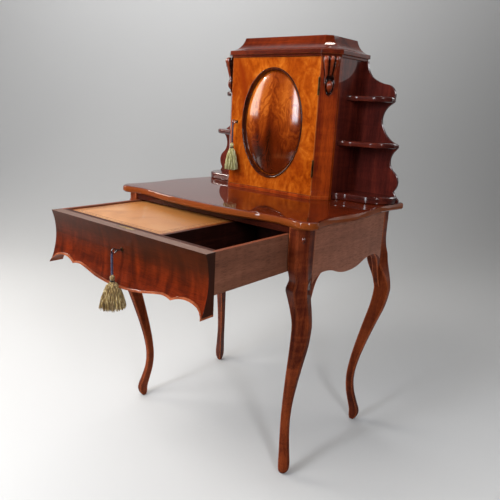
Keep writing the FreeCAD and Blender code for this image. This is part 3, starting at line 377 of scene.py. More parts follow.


# Painted reflection: the side aprons' mahogany is painted a pale mauve-brown, much paler than the rail and
# legs, for the pale room mirrored in it.
apron_wood_painted_reflection = polished_wood("apron_mahogany_painted_reflection", "Y", tone(112, 66, 48), tone(142, 88, 66), tone(164, 106, 82))
# Painted highlight: the aprons' edges, the lower bead among them, are painted lighter, besides the stain
# rubbed thin there.
worn_and_highlit_edges(apron_wood_painted_reflection, tone(206, 140, 104), 0.7, 0.002)
for side in ("left", "right"):
    soften(f"side_apron_{side}", apron_wood_painted_reflection, 0.0016)
rail_wood = polished_wood("rail_mahogany", "X", tone(24, 7, 4), tone(56, 18, 9), tone(86, 32, 16))
for name in ("back_apron", "front_top_rail"):
    soften(name, rail_wood)
bare_wood = polished_wood("bare_lining_wood", "Y", tone(44, 20, 14), tone(84, 44, 30), tone(116, 68, 48),
                          dullness=0.9)
bare_wood.set(Coat_Weight=0.12, Roughness=0.6)
for side in ("left", "right"):
    soften(f"drawer_runner_{side}", bare_wood)
    soften(f"drawer_kicker_{side}", bare_wood)

# The table top: one wide board of well figured mahogany, with its edge worked to a
# thumb moulding. The polish is deep enough to mirror what stands on it.
top_wood = polished_wood("table_top_mahogany", "X", tone(16, 3, 1), tone(44, 11, 2), tone(94, 29, 5),
                         figure=1.9, dullness=0.05)
top_wood.set(Coat_Weight=0.9)
# Painted highlight: the moulding's faces that do not look straight up are painted a lighter gold-brown, for
# the light that the edge catches.
turned_up = top_wood.parts(top_wood.add("NewGeometry").outputs["Normal"])["Z"]
painted_edge_highlight = top_wood.sum((top_wood.between(turned_up, 0.95, 0.7), 0.42))
top_wood.paint(top_wood.mix(painted_edge_highlight, top_wood.painted(), tone(158, 82, 32)))
soften("table_top", top_wood, 0.0006, flat=False, angle=40)

# The drawer: a mahogany front, hollow in section, with a bead along its shaped lower
# edge, and a dovetailed box of plain stained wood behind it.
def tinted_faces(finish, axis, colour, amount):
    """Gives the faces that look along an axis, either way, another tone."""
    facing = finish.reckon("ABSOLUTE", finish.parts(finish.add("NewGeometry").outputs["Normal"])[axis])
    share = finish.sum((finish.between(facing, 0.75, 0.9), amount))
    finish.paint(finish.mix(share, finish.painted(), colour))


front_wood = polished_wood("drawer_front_mahogany", "X", tone(20, 4, 1), tone(48, 12, 2), tone(100, 31, 5),
                           figure=1.9)
flame = front_wood.noise(front_wood.mapped((22, 22, 7), rotation=(0, 0.5, 0)), detail=5, distortion=1.4)
flames = front_wood.ramp(flame, (0.32, (0.35, 0.3, 0.25, 1)), (0.68, (1.5, 1.35, 1.2, 1)))
flamed = front_wood.mix(0.75, front_wood.painted(), flames, "MULTIPLY")
# Painted shade: the upper part of the drawer front, which faces downwards in the hollow, is painted a
# darker, less red brown.
painted_upper_shade = front_wood.sum((front_wood.between(front_wood.parts(front_wood.place)["Z"], 0.60, 0.675), 0.75))
front_wood.paint(front_wood.mix(painted_upper_shade, flamed, tone(54, 27, 10)))
# Painted reflection: the drawer front's faces that look up or down, its top edge among them, are painted a
# pale brown, as the pale room mirrors in them.
tinted_faces(front_wood, "Z", tone(110, 70, 48), 0.9)
# The drawer front's ends are end grain, in another tone.
tinted_faces(front_wood, "X", tone(50, 28, 20), 0.85)
soften("drawer_front", front_wood, 0.0008, flat=False, angle=35)
# Painted highlight: the bead is painted much lighter than the drawer front, for the bright line that the
# light draws along it.
bead_wood_painted_highlight = polished_wood("bead_mahogany_painted_highlight", "X", tone(66, 26, 12), tone(142, 70, 40), tone(200, 122, 82))
bead_wood_painted_highlight.set(Coat_Weight=1.0, Coat_Roughness=0.12, Coat_IOR=1.6)
soften("drawer_bead", bead_wood_painted_highlight, 0.0009, flat=False, angle=35)
side_wood = polished_wood("drawer_side_mahogany", "Y", tone(104, 64, 48), tone(130, 82, 62),
                          tone(152, 102, 80), figure=0.8, dullness=0.9)
side_wood.set(Coat_Weight=0.2)
tinted_faces(side_wood, "Z", tone(124, 58, 34), 0.7)
for side in ("left", "right"):
    soften(f"drawer_side_{side}", side_wood, 0.0006)
well_wood = polished_wood("drawer_well_mahogany", "Y", tone(20, 7, 6), tone(40, 16, 12), tone(64, 30, 22),
                          dullness=0.9)
well_wood.set(Coat_Weight=0.12)
tinted_faces(well_wood, "Z", tone(84, 42, 28), 0.5)
for name in ("drawer_box_front", "drawer_back", "drawer_bottom", "drawer_divider", "slide_ledges"):
    soften(name, well_wood, 0.0006)

# The writing slide: a mahogany board with a panel of tan leather let in. The leather is
# tooled near its edge with a gilt line between two that are burnt in.
slide_wood = polished_wood("slide_mahogany", "X", tone(70, 30, 12), tone(130, 66, 28), tone(178, 100, 48))
soften("writing_slide", slide_wood, 0.0006)
hide = Finish("tan_leather")
grain = hide.noise(hide.mapped((420, 420, 420)), detail=4, roughness=0.65)
patches = hide.noise(hide.mapped((9, 9, 9)), detail=4, distortion=0.6)
shade = hide.sum((patches, 0.75), (grain, 0.25))
tanned = hide.ramp(hide.between(shade, 0.3, 0.7), (0.0, tone(158, 96, 38)), (0.55, tone(196, 132, 70)),
                   (1.0, tone(226, 168, 104)))
# Painted shade: the leather is painted a darker brown towards the back and right, where the table top
# shades it, mixed with its own mottled patches.
painted_shade_and_patches = hide.sum((hide.dot(hide.place, (1.2, 1.9, 0)), 1.0), (patches, 0.9))
hide.paint(hide.mix(hide.between(painted_shade_and_patches, -0.25, 0.6), tanned, tone(118, 66, 16)))
hide.set(Roughness=0.42, Coat_Weight=0.25, Coat_Roughness=0.25)
hide.bump(grain, 0.12, 0.0004)
soften("writing_leather", hide, 0.0003)
gilt = Finish("gilt_tooling")
rubbed = gilt.noise(gilt.mapped((240, 240, 240)), detail=3)
gilt.paint(gilt.ramp(rubbed, (0.42, tone(128, 56, 24)), (0.6, tone(222, 176, 100))))
gilt.set(Metallic=0.3, Roughness=0.4)
burnt = Finish("blind_tooling")
burnt.set(Base_Color=tone(112, 44, 18), Roughness=0.5)
leather_left, leather_right, leather_top = -0.275, 0.0876, 0.6960
leather_front, leather_back = -0.3307, -0.0617
line_depth, line_proud = 0.0002, 0.0001


def tooled_line(name, inset, width, finish):
    """A line pressed round the leather, a little in from its edge."""
    middle = ((leather_left + leather_right) / 2, (leather_front + leather_back) / 2, leather_top)
    across, along_it = leather_right - leather_left - 2 * inset, leather_back - leather_front - 2 * inset
    work = bmesh.new()
    bmesh.ops.create_grid(work, x_segments=1, y_segments=1, size=0.5, matrix=(
        Matrix.Translation(middle) @ Matrix.Diagonal((across, along_it, 1, 1))))
    outer = work.faces[:]
    bmesh.ops.inset_region(work, faces=outer, thickness=width, use_boundary=True, use_even_offset=True)
    bmesh.ops.delete(work, geom=outer, context="FACES_ONLY")
    bmesh.ops.solidify(work, geom=work.faces[:], thickness=line_depth)
    bmesh.ops.translate(work, verts=work.verts, vec=(0, 0, line_proud))
    bmesh.ops.recalc_face_normals(work, faces=work.faces)
    piece_from(work, name, "writing_slide", finish, smooth=False)


tooled_line("tooled_line_outer", 0.0060, 0.0020, burnt)
tooled_line("tooled_line_gilt", 0.0110, 0.0030, gilt)
tooled_line("tooled_line_inner", 0.0165, 0.0018, burnt)

# The cupboard's carcase and the open shelves beside it: sides, stiles, back board and shelves of mahogany,
# made darker away from the door, and housed and glued together.
stile_wood = polished_wood("stile_mahogany", "Z", tone(58, 15, 3), tone(112, 34, 6), tone(164, 64, 13),
                           figure=1.3)
# Painted highlight: the stiles' arrises are painted lighter, besides the stain rubbed thin there.
worn_and_highlit_edges(stile_wood, tone(206, 112, 50), 0.5, 0.002)
for side in ("left", "right"):
    soften(f"corner_stile_{side}", stile_wood)
dark_upright = polished_wood("dark_upright_mahogany", "Z", tone(38, 11, 9), tone(76, 25, 19),
                             tone(114, 43, 29), figure=1.1, dullness=0.06)
for side in ("left", "right"):
    soften(f"cupboard_side_{side}", dark_upright)
soften("back_board", dark_upright, 0.001)
dark_level = polished_wood("dark_level_mahogany", "X", tone(34, 10, 8), tone(70, 23, 16),
                           tone(108, 42, 26), dullness=0.4)
dark_level.set(Coat_Weight=1.0, Coat_IOR=1.6)
for name in ("cupboard_bottom", "cupboard_top", "inner_shelf"):
    soften(name, dark_level)
soften("base_board", stile_wood, 0.001)
for side in ("left", "right"):
    for level in ("base", "middle", "upper"):
        soften(f"{level}_shelf_{side}", dark_level, 0.0004, flat=False, angle=50)

# The cornice: a cove between two square mouldings, worked in straight-grained mahogany,
# mitred round the cants and glued down on the cupboard's top.
cornice_wood = polished_wood("cornice_mahogany", "X", tone(36, 8, 2), tone(78, 21, 4), tone(122, 42, 9),
                             figure=1.3)
# Painted highlight: the cornice's arrises are painted lighter, besides the stain rubbed thin there.
worn_and_highlit_edges(cornice_wood, tone(186, 96, 44), 0.6, 0.0014)
soften("cornice", cornice_wood, 0.0012, flat=False, angle=30)


# The corbels, planted on the cants: three reeds at the top run down between two curved
# ribs and end over a drop. Each is carved from one block of mahogany.
corbel_tall, corbel_top, corbel_aside, corbel_ahead, thinnest = 0.108, 1.146, 0.1845, 0.2113, 0.0008
half_widths = ((0, 0.0012), (0.04, 0.0062), (0.12, 0.0128), (0.3, 0.017), (0.48, 0.016), (0.66, 0.0198),
               (0.84, 0.0237), (1, 0.024))
reaches = ((0, 0.0015), (0.06, 0.0045), (0.17, 0.0085), (0.3, 0.0095), (0.4, 0.0085), (0.53, 0.0115),
           (0.74, 0.019), (0.87, 0.0215), (0.96, 0.021), (1, 0.0165))


def along(stops, place):
    """Reads a value off a line of stops, easing from one to the next."""
    for (low, first), (high, last) in zip(stops, stops[1:]):
        if place <= high:
            t = (place - low) / (high - low)
            return first + (last - first) * (t * 0.5 + t * t * (1.5 - t) * 0.5)
    return stops[-1][1]


def ridge(distance, width):
    """A rounded swelling that dies away on both sides."""
    return math.exp(-(distance / width) ** 2)


def block(across, up):
    """How far the uncarved block stands out: across runs from -1 to 1 and up from 0 to 1."""
    return along(reaches, up) * (1 - 0.4 * abs(across) ** 3)


def carved(across, up):
    """How far the carved corbel stands out at the same places."""
    upper = min(max((up - 0.42) / 0.14, 0), 1)
    reed = abs(math.cos(1.5 * math.pi * across)) ** 0.6
    reeds = 0.0062 * reed + 0.002 * reed * ridge(up - 0.93, 0.06) - 0.0048
    drop_place = (across / 0.66) ** 2 + ((up - 0.25) / 0.17) ** 2
    drop = 0.0085 * math.sqrt(max(0, 1 - drop_place))
    rib_place = 0.86 + 0.06 * math.sin(up * 9)
    ribs = 0.0056 * ridge(abs(across) - rib_place, 0.12)
    lower = (drop + ribs - 0.0042) * (1 - upper) * min(up * 8, 1)
    return block(across, up) + (reeds + 0.4 * ribs) * upper + lower


carved_wood = polished_wood("carved_mahogany", "Z", tone(50, 16, 6), tone(104, 40, 16), tone(150, 70, 32))
# Painted shade and highlight: the carving is painted near black in its hollows and lighter on its ridges,
# by how far each place is sunk or raised.
depth = carved_wood.add("Attribute", attribute_name="relief").outputs["Fac"]
painted_hollow_shade_and_ridge_light = carved_wood.ramp(carved_wood.between(depth, -0.002, 0.0025), (0, (0.1, 0.07, 0.07, 1)),
                            (0.5, (0.8, 0.75, 0.7, 1)), (1, (1.7, 1.6, 1.5, 1)))
carved_wood.paint(carved_wood.mix(1, carved_wood.painted(), painted_hollow_shade_and_ridge_light, "MULTIPLY"))
carved_wood.set(Coat_Weight=1.0, Coat_IOR=1.6)


def carved_corbel(side, side_name):
    """One corbel: a flat grid pushed out to the carving, with a wall and a back."""
    work = bmesh.new()
    bmesh.ops.create_grid(work, x_segments=44, y_segments=84, size=1)
    relief_layer = work.verts.layers.float.new("relief")
    for vert in work.verts:
        across, up = vert.co.x, (vert.co.y + 1) / 2
        vert[relief_layer] = carved(across, up) - block(across, up)
        vert.co = (across * along(half_widths, up), -max(carved(across, up), thinnest), up * corbel_tall)
    rim = [edge for edge in work.edges if edge.is_boundary]
    wall = bmesh.ops.extrude_edge_only(work, edges=rim)["geom"]
    for vert in wall:
        if isinstance(vert, bmesh.types.BMVert):
            vert.co.y = 0
    bmesh.ops.contextual_create(work, geom=[e for e in wall if isinstance(e, bmesh.types.BMEdge)])
    bmesh.ops.recalc_face_normals(work, faces=work.faces)
    bmesh.ops.transform(work, verts=work.verts, matrix=(
        Matrix.Translation((side * corbel_aside, corbel_ahead, corbel_top - corbel_tall))
        @ Matrix.Rotation(math.radians(45 * side), 4, "Z")))
    carving = piece_from(work, f"carved_corbel_{side_name}", "case", carved_wood)
    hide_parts(f"corbel_{side_name}")


for side, side_name in ((-1, "left"), (1, "right")):
    carved_corbel(side, side_name)

# The door: a board veneered with burr, an oval moulding planted on it, and a domed panel
# veneered with crotch mahogany, whose figure fans out from a dark middle. The dome is the
# cap of a stretched sphere: dome_share is how much of the sphere's width it takes up.
burr = Finish("burr_veneer")
curl = burr.noise(burr.mapped((26, 26, 15)), detail=7, roughness=0.62, distortion=1.6)
spots = burr.noise(burr.mapped((110, 110, 90)), detail=3, distortion=0.7)
clouds = burr.noise(burr.mapped((7, 7, 4)), detail=3, distortion=0.6)
shade = burr.sum((curl, 0.5), (spots, 0.18), (clouds, 0.32))
veined = burr.ramp(burr.between(shade, 0.33, 0.68), (0.0, tone(74, 22, 2)), (0.3, tone(128, 48, 6)),
                   (0.62, tone(166, 78, 15)), (1.0, tone(206, 118, 36)))
reddened = burr.noise(burr.mapped((5, 5, 3), location=(0.3, 0, 0.7)), detail=3, distortion=0.8)
burr.paint(burr.mix(burr.between(reddened, 0.5, 0.72), veined, tone(124, 42, 8)))
# Painted highlight: the door's edges are painted lighter, besides the stain rubbed thin there.
worn_and_highlit_edges(burr, tone(226, 150, 84), 0.5, 0.0015)
burr.set(Roughness=0.45, Specular_IOR_Level=0, Coat_Weight=0.6, Coat_Roughness=0.05, Coat_IOR=1.42)
burr.bump(curl, 0.02, 0.0005)
soften("door_frame", burr, 0.0008)

crotch = Finish("crotch_veneer")
height = crotch.parts(crotch.place)["Z"]
aside = crotch.reckon("ABSOLUTE", crotch.parts(crotch.place)["X"])
drift = crotch.noise(crotch.mapped((15, 15, 9), location=(0.2, 0, 0.1)), detail=5, distortion=1.3)
rise = crotch.sum((height, 1.0), (crotch.reckon("POWER", aside, 0.55), 0.5), (drift, 0.34))
rows = crotch.add("CombineXYZ")
crotch.join(rise, rows.inputs["X"])
feather = crotch.noise(rows.outputs[0], detail=5, roughness=0.6, scale=46)
heart = crotch.noise(crotch.mapped((16, 16, 5), location=(0.5, 0, 0.3)), detail=3, distortion=0.5)
middle_dark = crotch.between(aside, 0.0, 0.085)
low_dark = crotch.between(height, 0.87, 1.0)
shade = crotch.sum((feather, 0.34), (heart, 0.36), (middle_dark, 0.1), (low_dark, 0.16))
crotch.paint(crotch.ramp(crotch.between(shade, 0.34, 0.66), (0.0, tone(44, 12, 2)), (0.32, tone(92, 30, 5)),
                         (0.62, tone(134, 56, 11)), (1.0, tone(200, 108, 34))))
crotch.set(Roughness=0.4, Specular_IOR_Level=0, Coat_Weight=1.0, Coat_Roughness=0.1, Coat_IOR=1.5)
work = bmesh.new()
dome_share = 0.6
half_wide, half_tall, dome_rise, sinking, oval_middle = 0.1057, 0.1552, 0.016, 0.2008, 0.951
dome_depth = dome_rise / (1 - math.sqrt(1 - dome_share ** 2))
bmesh.ops.create_uvsphere(work, u_segments=128, v_segments=96, radius=1, matrix=(
    Matrix.Translation((0, sinking - dome_rise + dome_depth, oval_middle))
    @ Matrix.Diagonal((half_wide / dome_share, dome_depth, half_tall / dome_share, 1))
    @ Matrix.Rotation(math.radians(90), 4, "X")))
cut = bmesh.ops.bisect_plane(work, geom=work.verts[:] + work.edges[:] + work.faces[:],
                             plane_co=(0, sinking, 0), plane_no=(0, 1, 0), clear_outer=True)
bmesh.ops.contextual_create(work, geom=[e for e in cut["geom_cut"] if isinstance(e, bmesh.types.BMEdge)])
bmesh.ops.recalc_face_normals(work, faces=work.faces)
dome = piece_from(work, "domed_panel", "door", crotch)
dome.data.shade_smooth()
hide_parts("oval_panel")
moulding_wood = polished_wood("moulding_mahogany", "Z", tone(26, 8, 3), tone(64, 22, 6), tone(112, 46, 14))
moulding_wood.set(Coat_Weight=1.0, Coat_IOR=1.6)
soften("oval_moulding", moulding_wood, 0.0008, flat=False, angle=40)

# The locks, bolts, keyhole collars and hinges: cast and sheet brass, let in flush and
# fixed with screws. The hinges and collars have gone dull.
brass = Finish("old_brass")
tarnish = brass.noise(brass.mapped((60, 60, 60)), detail=4)
brass.paint(brass.ramp(tarnish, (0.35, tone(140, 104, 52)), (0.65, tone(206, 170, 100))))
brass.set(Metallic=1.0, Roughness=0.32)
for name in ("drawer_lock", "drawer_lock_bolt", "door_lock", "door_lock_bolt"):
    soften(name, brass, 0.0003)
dull_brass = Finish("dull_hinge_brass")
patina = dull_brass.noise(dull_brass.mapped((70, 70, 70)), detail=4)
dull_brass.paint(dull_brass.ramp(patina, (0.35, tone(52, 32, 14)), (0.65, tone(104, 74, 36))))
dull_brass.set(Metallic=0.9, Roughness=0.5)
for name in ("hinge_leaves", "hinge_plates", "drawer_escutcheon", "door_escutcheon"):
    soften(name, dull_brass, 0.0003)

# The keys: filed and polished steel. Each has a round shank with a collar, a square bit
# and a ring for its bow, and stands in its lock.
steel = Finish("key_steel")
wear = steel.noise(steel.mapped((150, 150, 150)), detail=3)
steel.paint(steel.ramp(wear, (0.35, tone(120, 118, 116)), (0.65, tone(206, 206, 208))))
steel.set(Metallic=1.0, Roughness=0.24)


def key(body, x, z, inside, outside):
    """A key that lies along Y: shank, collar, bit below, and a ring for its bow."""
    shank, wire, bow, collar, collar_edge = 0.0025, 0.0016, 0.006, 0.0038, 0.0032
    bit_width, bit_length, bit_height, bit_drop = 0.0024, 0.0044, 0.0058, 0.0046
    work = bmesh.new()

    def rod(front, back, radius, waist):
        bmesh.ops.create_cone(work, cap_ends=True, segments=28, radius1=waist, radius2=radius,
                              depth=back - front, matrix=(
                                  Matrix.Translation((x, (front + back) / 2, z))
                                  @ Matrix.Rotation(math.radians(90), 4, "X")))

    rod(outside - 0.001, inside, shank, shank)
    rod(outside + 0.0015, outside + 0.003, collar, collar_edge)
    rod(outside + 0.003, outside + 0.0045, collar_edge, collar)
    bmesh.ops.create_cube(work, size=1, matrix=(
        Matrix.Translation((x, inside - bit_length / 2, z - bit_drop))
        @ Matrix.Diagonal((bit_width, bit_length, bit_height, 1))))
    hoop = bmesh.ops.create_circle(work, segments=14, radius=wire, matrix=(
        Matrix.Translation((x, outside - bow, z + bow)) @ Matrix.Rotation(math.radians(90), 4, "Y")
        @ Matrix.Rotation(math.radians(90), 4, "X")))["verts"]
    rim = list({edge for vert in hoop for edge in vert.link_edges})
    bmesh.ops.spin(work, geom=hoop + rim, cent=(x, outside - bow, z), axis=(1, 0, 0),
                   angle=2 * math.pi, steps=40, use_merge=True)
    bmesh.ops.remove_doubles(work, verts=work.verts, dist=1e-6)
    bmesh.ops.recalc_face_normals(work, faces=work.faces)
    made = piece_from(work, f"filed_{body}", body, steel)
    edge = made.modifiers.new("edge", "BEVEL")
    edge.width, edge.segments = 0.0003, 2
    edge.limit_method, edge.angle_limit = "ANGLE", math.radians(40)
    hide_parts(body)


key("drawer_key", x=0, z=0.647, inside=-0.3559, outside=-0.3896)
key("door_key", x=-0.140, z=0.949, inside=0.2125, outside=0.1838)


# The tassels' cords: navy silk, tied to a key's bow and hanging straight down to the
# head of a tassel. Each has a core with two more strands laid round it.
navy_cord = Finish("navy_silk_cord")
twist = navy_cord.add("TexWave", wave_type="BANDS", bands_direction="DIAGONAL")
twist.inputs["Scale"].default_value = 260
navy_cord.join(navy_cord.place, twist.inputs["Vector"])
navy_cord.paint(navy_cord.ramp(twist.outputs["Fac"], (0.1, tone(12, 12, 28)), (0.8, tone(44, 48, 92))))
navy_cord.set(Roughness=0.6, Sheen_Weight=0.3)
navy_cord.bump(twist.outputs["Fac"], 0.5, 0.0006)


def hanging_cord(name, body, x, y, top, bottom):
    """A straight cord from a key's bow down to a tassel's head."""
    curve = bpy.data.curves.new(name, "CURVE")
    curve.dimensions = "3D"
    spline = curve.splines.new("NURBS")
    spline.points.add(2)
    for point, z in zip(spline.points, (top, (top + bottom) / 2, bottom)):
        point.co = (x, y, z, 1)
    spline.order_u = 3
    spline.use_endpoint_u = True
    curve.bevel_depth = 0.002
    curve.bevel_resolution = 4
    curve.use_fill_caps = True
    cord = bpy.data.objects.new(name, curve)
    scene.collection.objects.link(cord)
    dress(cord, navy_cord)
    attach(cord, body)
    return cord


def wound_cord(name, body, x, y, top, bottom):
    """The strands that are laid round a hanging cord and give it its thick, ropy look."""
    away, thick, lay, steps = 0.0016, 0.0017, 0.012, 40
    work = bmesh.new()
    for phase in (0, math.pi):
        hoops = []
        for step in range(steps + 1):
            turn = phase + step / steps * (top - bottom) / lay * 2 * math.pi
            middle = Matrix.Translation((x + away * math.cos(turn), y + away * math.sin(turn),
                                         top + (bottom - top) * step / steps))
            ring = bmesh.ops.create_circle(work, segments=10, radius=thick, matrix=middle)
            hoops.append(list({edge for vert in ring["verts"] for edge in vert.link_edges}))
        for upper, lower in zip(hoops, hoops[1:]):
            bmesh.ops.bridge_loops(work, edges=upper + lower)
        bmesh.ops.contextual_create(work, geom=hoops[0])
        bmesh.ops.contextual_create(work, geom=hoops[-1])
    bmesh.ops.recalc_face_normals(work, faces=work.faces)
    return piece_from(work, name, body, navy_cord)


def cord_loop(name, body, x, y, z):
    """The cord's end: a thin flat band goes through the key's bow, over a round knot."""
    half_band, ring, knot_drop, knot_half_sizes = 0.0009, 0.0036, 0.0046, (0.0027, 0.0027, 0.0019)
    work = bmesh.new()
    hoop = bmesh.ops.create_circle(work, segments=10, radius=half_band, matrix=(
        Matrix.Translation((x, y, z + ring)) @ Matrix.Rotation(math.radians(180), 4, "Y")))["verts"]
    rim = list({edge for vert in hoop for edge in vert.link_edges})
    bmesh.ops.spin(work, geom=hoop + rim, cent=(x, y, z), axis=(0, 1, 0), angle=2 * math.pi, steps=24,
                   use_merge=True)
    bmesh.ops.create_uvsphere(work, u_segments=16, v_segments=10, radius=1, matrix=(
        Matrix.Translation((x, y, z - knot_drop)) @ Matrix.Diagonal((*knot_half_sizes, 1))))
    bmesh.ops.remove_doubles(work, verts=work.verts, dist=1e-6)
    bmesh.ops.recalc_face_normals(work, faces=work.faces)
    piece_from(work, name, body, navy_cord)


# The tassels. A turned wooden head is wound with silk, a black band ties its neck, and
# below it a skirt of silk strands, cut level by hand, spreads out.
def silk(name, *colours):
    """Silk floss in a few shades, which differ from strand to strand."""
    finish = Finish(name)
    shade = finish.noise(finish.mapped((330, 330, 18)), detail=3)
    stops = [(0.3 + 0.4 * n / (len(colours) - 1), colour) for n, colour in enumerate(colours)]
    finish.paint(finish.ramp(shade, *stops))
    finish.set(Roughness=0.42, Sheen_Weight=0.25, Anisotropic=0.4)
    return finish


gold_silk = silk("gold_silk", tone(34, 24, 10), tone(112, 84, 40), tone(170, 142, 84), tone(232, 216, 172))
pale_silk = silk("pale_green_gold_silk", tone(60, 52, 26), tone(150, 140, 84), tone(196, 192, 136),
                 tone(240, 238, 208))
black_silk = Finish("black_silk")
black_silk.set(Base_Color=tone(16, 14, 16), Roughness=0.5)


def turned(work, x, y, rings):
    """Spins a profile of (radius, height) round an upright axis."""
    corners = [work.verts.new((x + radius, y, height)) for radius, height in rings]
    edges = [work.edges.new(pair) for pair in zip(corners, corners[1:])]
    bmesh.ops.spin(work, geom=corners + edges, cent=(x, y, 0), axis=(0, 0, 1),
                   angle=2 * math.pi, steps=32, use_merge=True)
    bmesh.ops.remove_doubles(work, verts=work.verts, dist=1e-6)
    bmesh.ops.recalc_face_normals(work, faces=work.faces)


thirds = (0, 2.094, 4.189)


def strand(work, path, thickness, turn):
    """One strand of floss: a thin three-sided thread along a few points."""
    rows = []
    for number, point in enumerate(path):
        width = thickness * (1 if number < len(path) - 1 else 0.5)
        rows.append([
            work.verts.new(point + Vector((math.cos(turn + a), math.sin(turn + a), 0)) * width)
            for a in thirds])
    for upper, lower in zip(rows, rows[1:]):
        for side in range(3):
            work.faces.new((upper[side], lower[side], lower[side - 2], upper[side - 2]))
    work.faces.new(rows[-1])
    work.faces.new(rows[0][::-1])


def tassel(name, body, x, y, top, head, head_height, skirt, skirt_height, count, finish):
    """Head, band and skirt of one tassel, hung plumb under its cord."""
    dice = random.Random(len(name) + count)
    work = bmesh.new()
    neck = top - head_height
    turned(work, x, y, [
        (0, top + 0.001), (head * 0.42, top), (head * 0.5, top - head_height * 0.1),
        (head * 0.92, top - head_height * 0.22), (head, top - head_height * 0.38),
        (head * 0.84, top - head_height * 0.56), (head * 0.62, top - head_height * 0.66),
        (head * 0.66, top - head_height * 0.72), (head * 0.9, neck), (0, neck - 0.001)])
    knob = piece_from(work, f"{name}_head", body, finish)
    work = bmesh.new()
    band = neck + head_height * 0.22
    turned(work, x, y, [
        (0, band + 0.0022), (head * 0.6, band + 0.0022), (head * 0.86, band + 0.0014), (head * 0.92, band),
        (head * 0.86, band - 0.0014), (head * 0.6, band - 0.0022), (0, band - 0.0022)])
    tie = piece_from(work, f"{name}_band", body, black_silk)
    work = bmesh.new()
    locks = 22
    for number in range(count):
        lock = dice.randrange(locks)
        inner = number % 3 == 0
        angle = (lock + dice.gauss(0, 0.2) + 0.5 * inner) / locks * 2 * math.pi
        reach = dice.uniform(0.1, 0.75) if inner else dice.uniform(0.82, 1)
        out = Vector((math.cos(angle), math.sin(angle), 0))
        tied = head * 0.8 * reach
        spread = skirt * reach * dice.uniform(0.9, 1.06)
        length = skirt_height * dice.uniform(0.93, 1.02) * (1 - 0.05 * reach)
        sway = Vector((-out.y, out.x, 0)) * (0.004 * math.sin(lock * 2.4) + dice.uniform(-0.001, 0.001))
        path = [Vector((x, y, neck + 0.002)) + out * tied]
        for step in (0.14, 0.34, 0.58, 0.8, 1):
            wide = tied + (spread - tied) * step ** 0.55
            path.append(Vector((x, y, neck + 0.002 - length * step)) + out * wide
                        + sway * math.sin(step * 7 + number))
        strand(work, path, dice.uniform(0.0008, 0.0015), angle)
    floss = piece_from(work, f"{name}_skirt", body, finish, smooth=False)
    return [knob, tie, floss]


x, y, top, bottom = 0, -0.4006, 0.6391, 0.5881
drawer_cord = hanging_cord("drawer_cord", "drawer", x, y, top, bottom)
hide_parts("drawer_tassel_cord")
drawer_tassel = tassel("drawer_tassel_silk", "drawer", x, y, bottom, head=0.0065, head_height=0.020,
                       skirt=0.032, skirt_height=0.070, count=420, finish=gold_silk)
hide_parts("drawer_tassel")
wound_cord("drawer_cord_strands", "drawer", x, y, top, bottom)
cord_loop("drawer_cord_loop", "drawer", x, y, 0.6434)

x, y, top, bottom = -0.140, 0.1728, 0.9411, 0.8831
door_cord = hanging_cord("door_cord", "door", x, y, top, bottom)
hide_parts("door_tassel_cord")
door_tassel = tassel("door_tassel_silk", "door", x, y, bottom, head=0.0065, head_height=0.020,
                     skirt=0.022, skirt_height=0.070, count=340, finish=pale_silk)
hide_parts("door_tassel")
wound_cord("door_cord_strands", "door", x, y, top, bottom)
cord_loop("door_cord_loop", "door", x, y, 0.9454)

# The camera stands at the right in front of the table, a little above the cupboard's
# middle. It looks down by 15 degrees and leans by 3.
camera_turn = math.radians(39.3)
camera_data = bpy.data.cameras.new("camera")
camera_data.lens = 39.1
camera_data.sensor_width = 36
camera = bpy.data.objects.new("camera", camera_data)
camera.matrix_world = (
    Matrix.Translation((1.0509, -1.1618, 1.0024))
    @ Matrix.Rotation(camera_turn, 4, "Z")
    @ Matrix.Rotation(math.radians(90 - 14.9), 4, "X")
    @ Matrix.Rotation(math.radians(3.0), 4, "Z"))
scene.collection.objects.link(camera)
scene.camera = camera


# The studio: a pale floor that turns up into a pale wall behind the table, lamps in
# front of it, and a room that is dark on the camera's side and bright on the other.
studio = bmesh.new()
floor_front, bend_from, bend, wall_top, half_width, bend_steps = -2.6, 1.8, 2.8, 5.5, 9, 20
sweep = [(floor_front, 0), (bend_from, 0)]
sweep += [(bend_from + bend * math.sin(a), bend - bend * math.cos(a))
          for a in (math.pi / 2 * n / bend_steps for n in range(1, bend_steps + 1))]
sweep.append((bend_from + bend, wall_top))
near = [studio.verts.new((-half_width, away, up)) for away, up in sweep]
edges = [studio.edges.new(pair) for pair in zip(near, near[1:])]
grown = bmesh.ops.extrude_edge_only(studio, edges=edges)["geom"]
bmesh.ops.translate(studio, vec=(2 * half_width, 0, 0),
                    verts=[v for v in grown if isinstance(v, bmesh.types.BMVert)])
bmesh.ops.rotate(studio, cent=(0, 0, 0), matrix=Matrix.Rotation(camera_turn, 3, "Z"), verts=studio.verts)
bmesh.ops.recalc_face_normals(studio, faces=studio.faces)
studio_mesh = bpy.data.meshes.new("studio_sweep")
for face in studio.faces:
    face.smooth = True
studio.to_mesh(studio_mesh)
studio.free()
studio_sweep = bpy.data.objects.new("studio_sweep", studio_mesh)
scene.collection.objects.link(studio_sweep)

# The studio's colour is painted with the fall of the light: darker away from the camera and to its right,
# and paler again up the wall. In the polish, the floor on the camera's side mirrors as dark as the room
# there.
studio_grey = Finish("studio_grey")
fall = studio_grey.between(studio_grey.dot(studio_grey.place, (0.0306, -0.0848, 0.17)), -0.6, 0.4)
paint = studio_grey.ramp(fall, (0, (0, 0, 0, 1)), (1, (1, 1, 1, 1)))
near_camera = studio_grey.between(studio_grey.dot(studio_grey.place, (0.633, -0.774, 0)), -1.2, 0.3)
dark = studio_grey.reckon("MULTIPLY", near_camera, studio_grey.add("LightPath").outputs["Is Glossy Ray"])
studio_grey.paint(studio_grey.mix(dark, paint, (0.018, 0.018, 0.018, 1)))
studio_grey.set(Roughness=0.9, Specular_IOR_Level=0)
dress(studio_sweep, studio_grey)

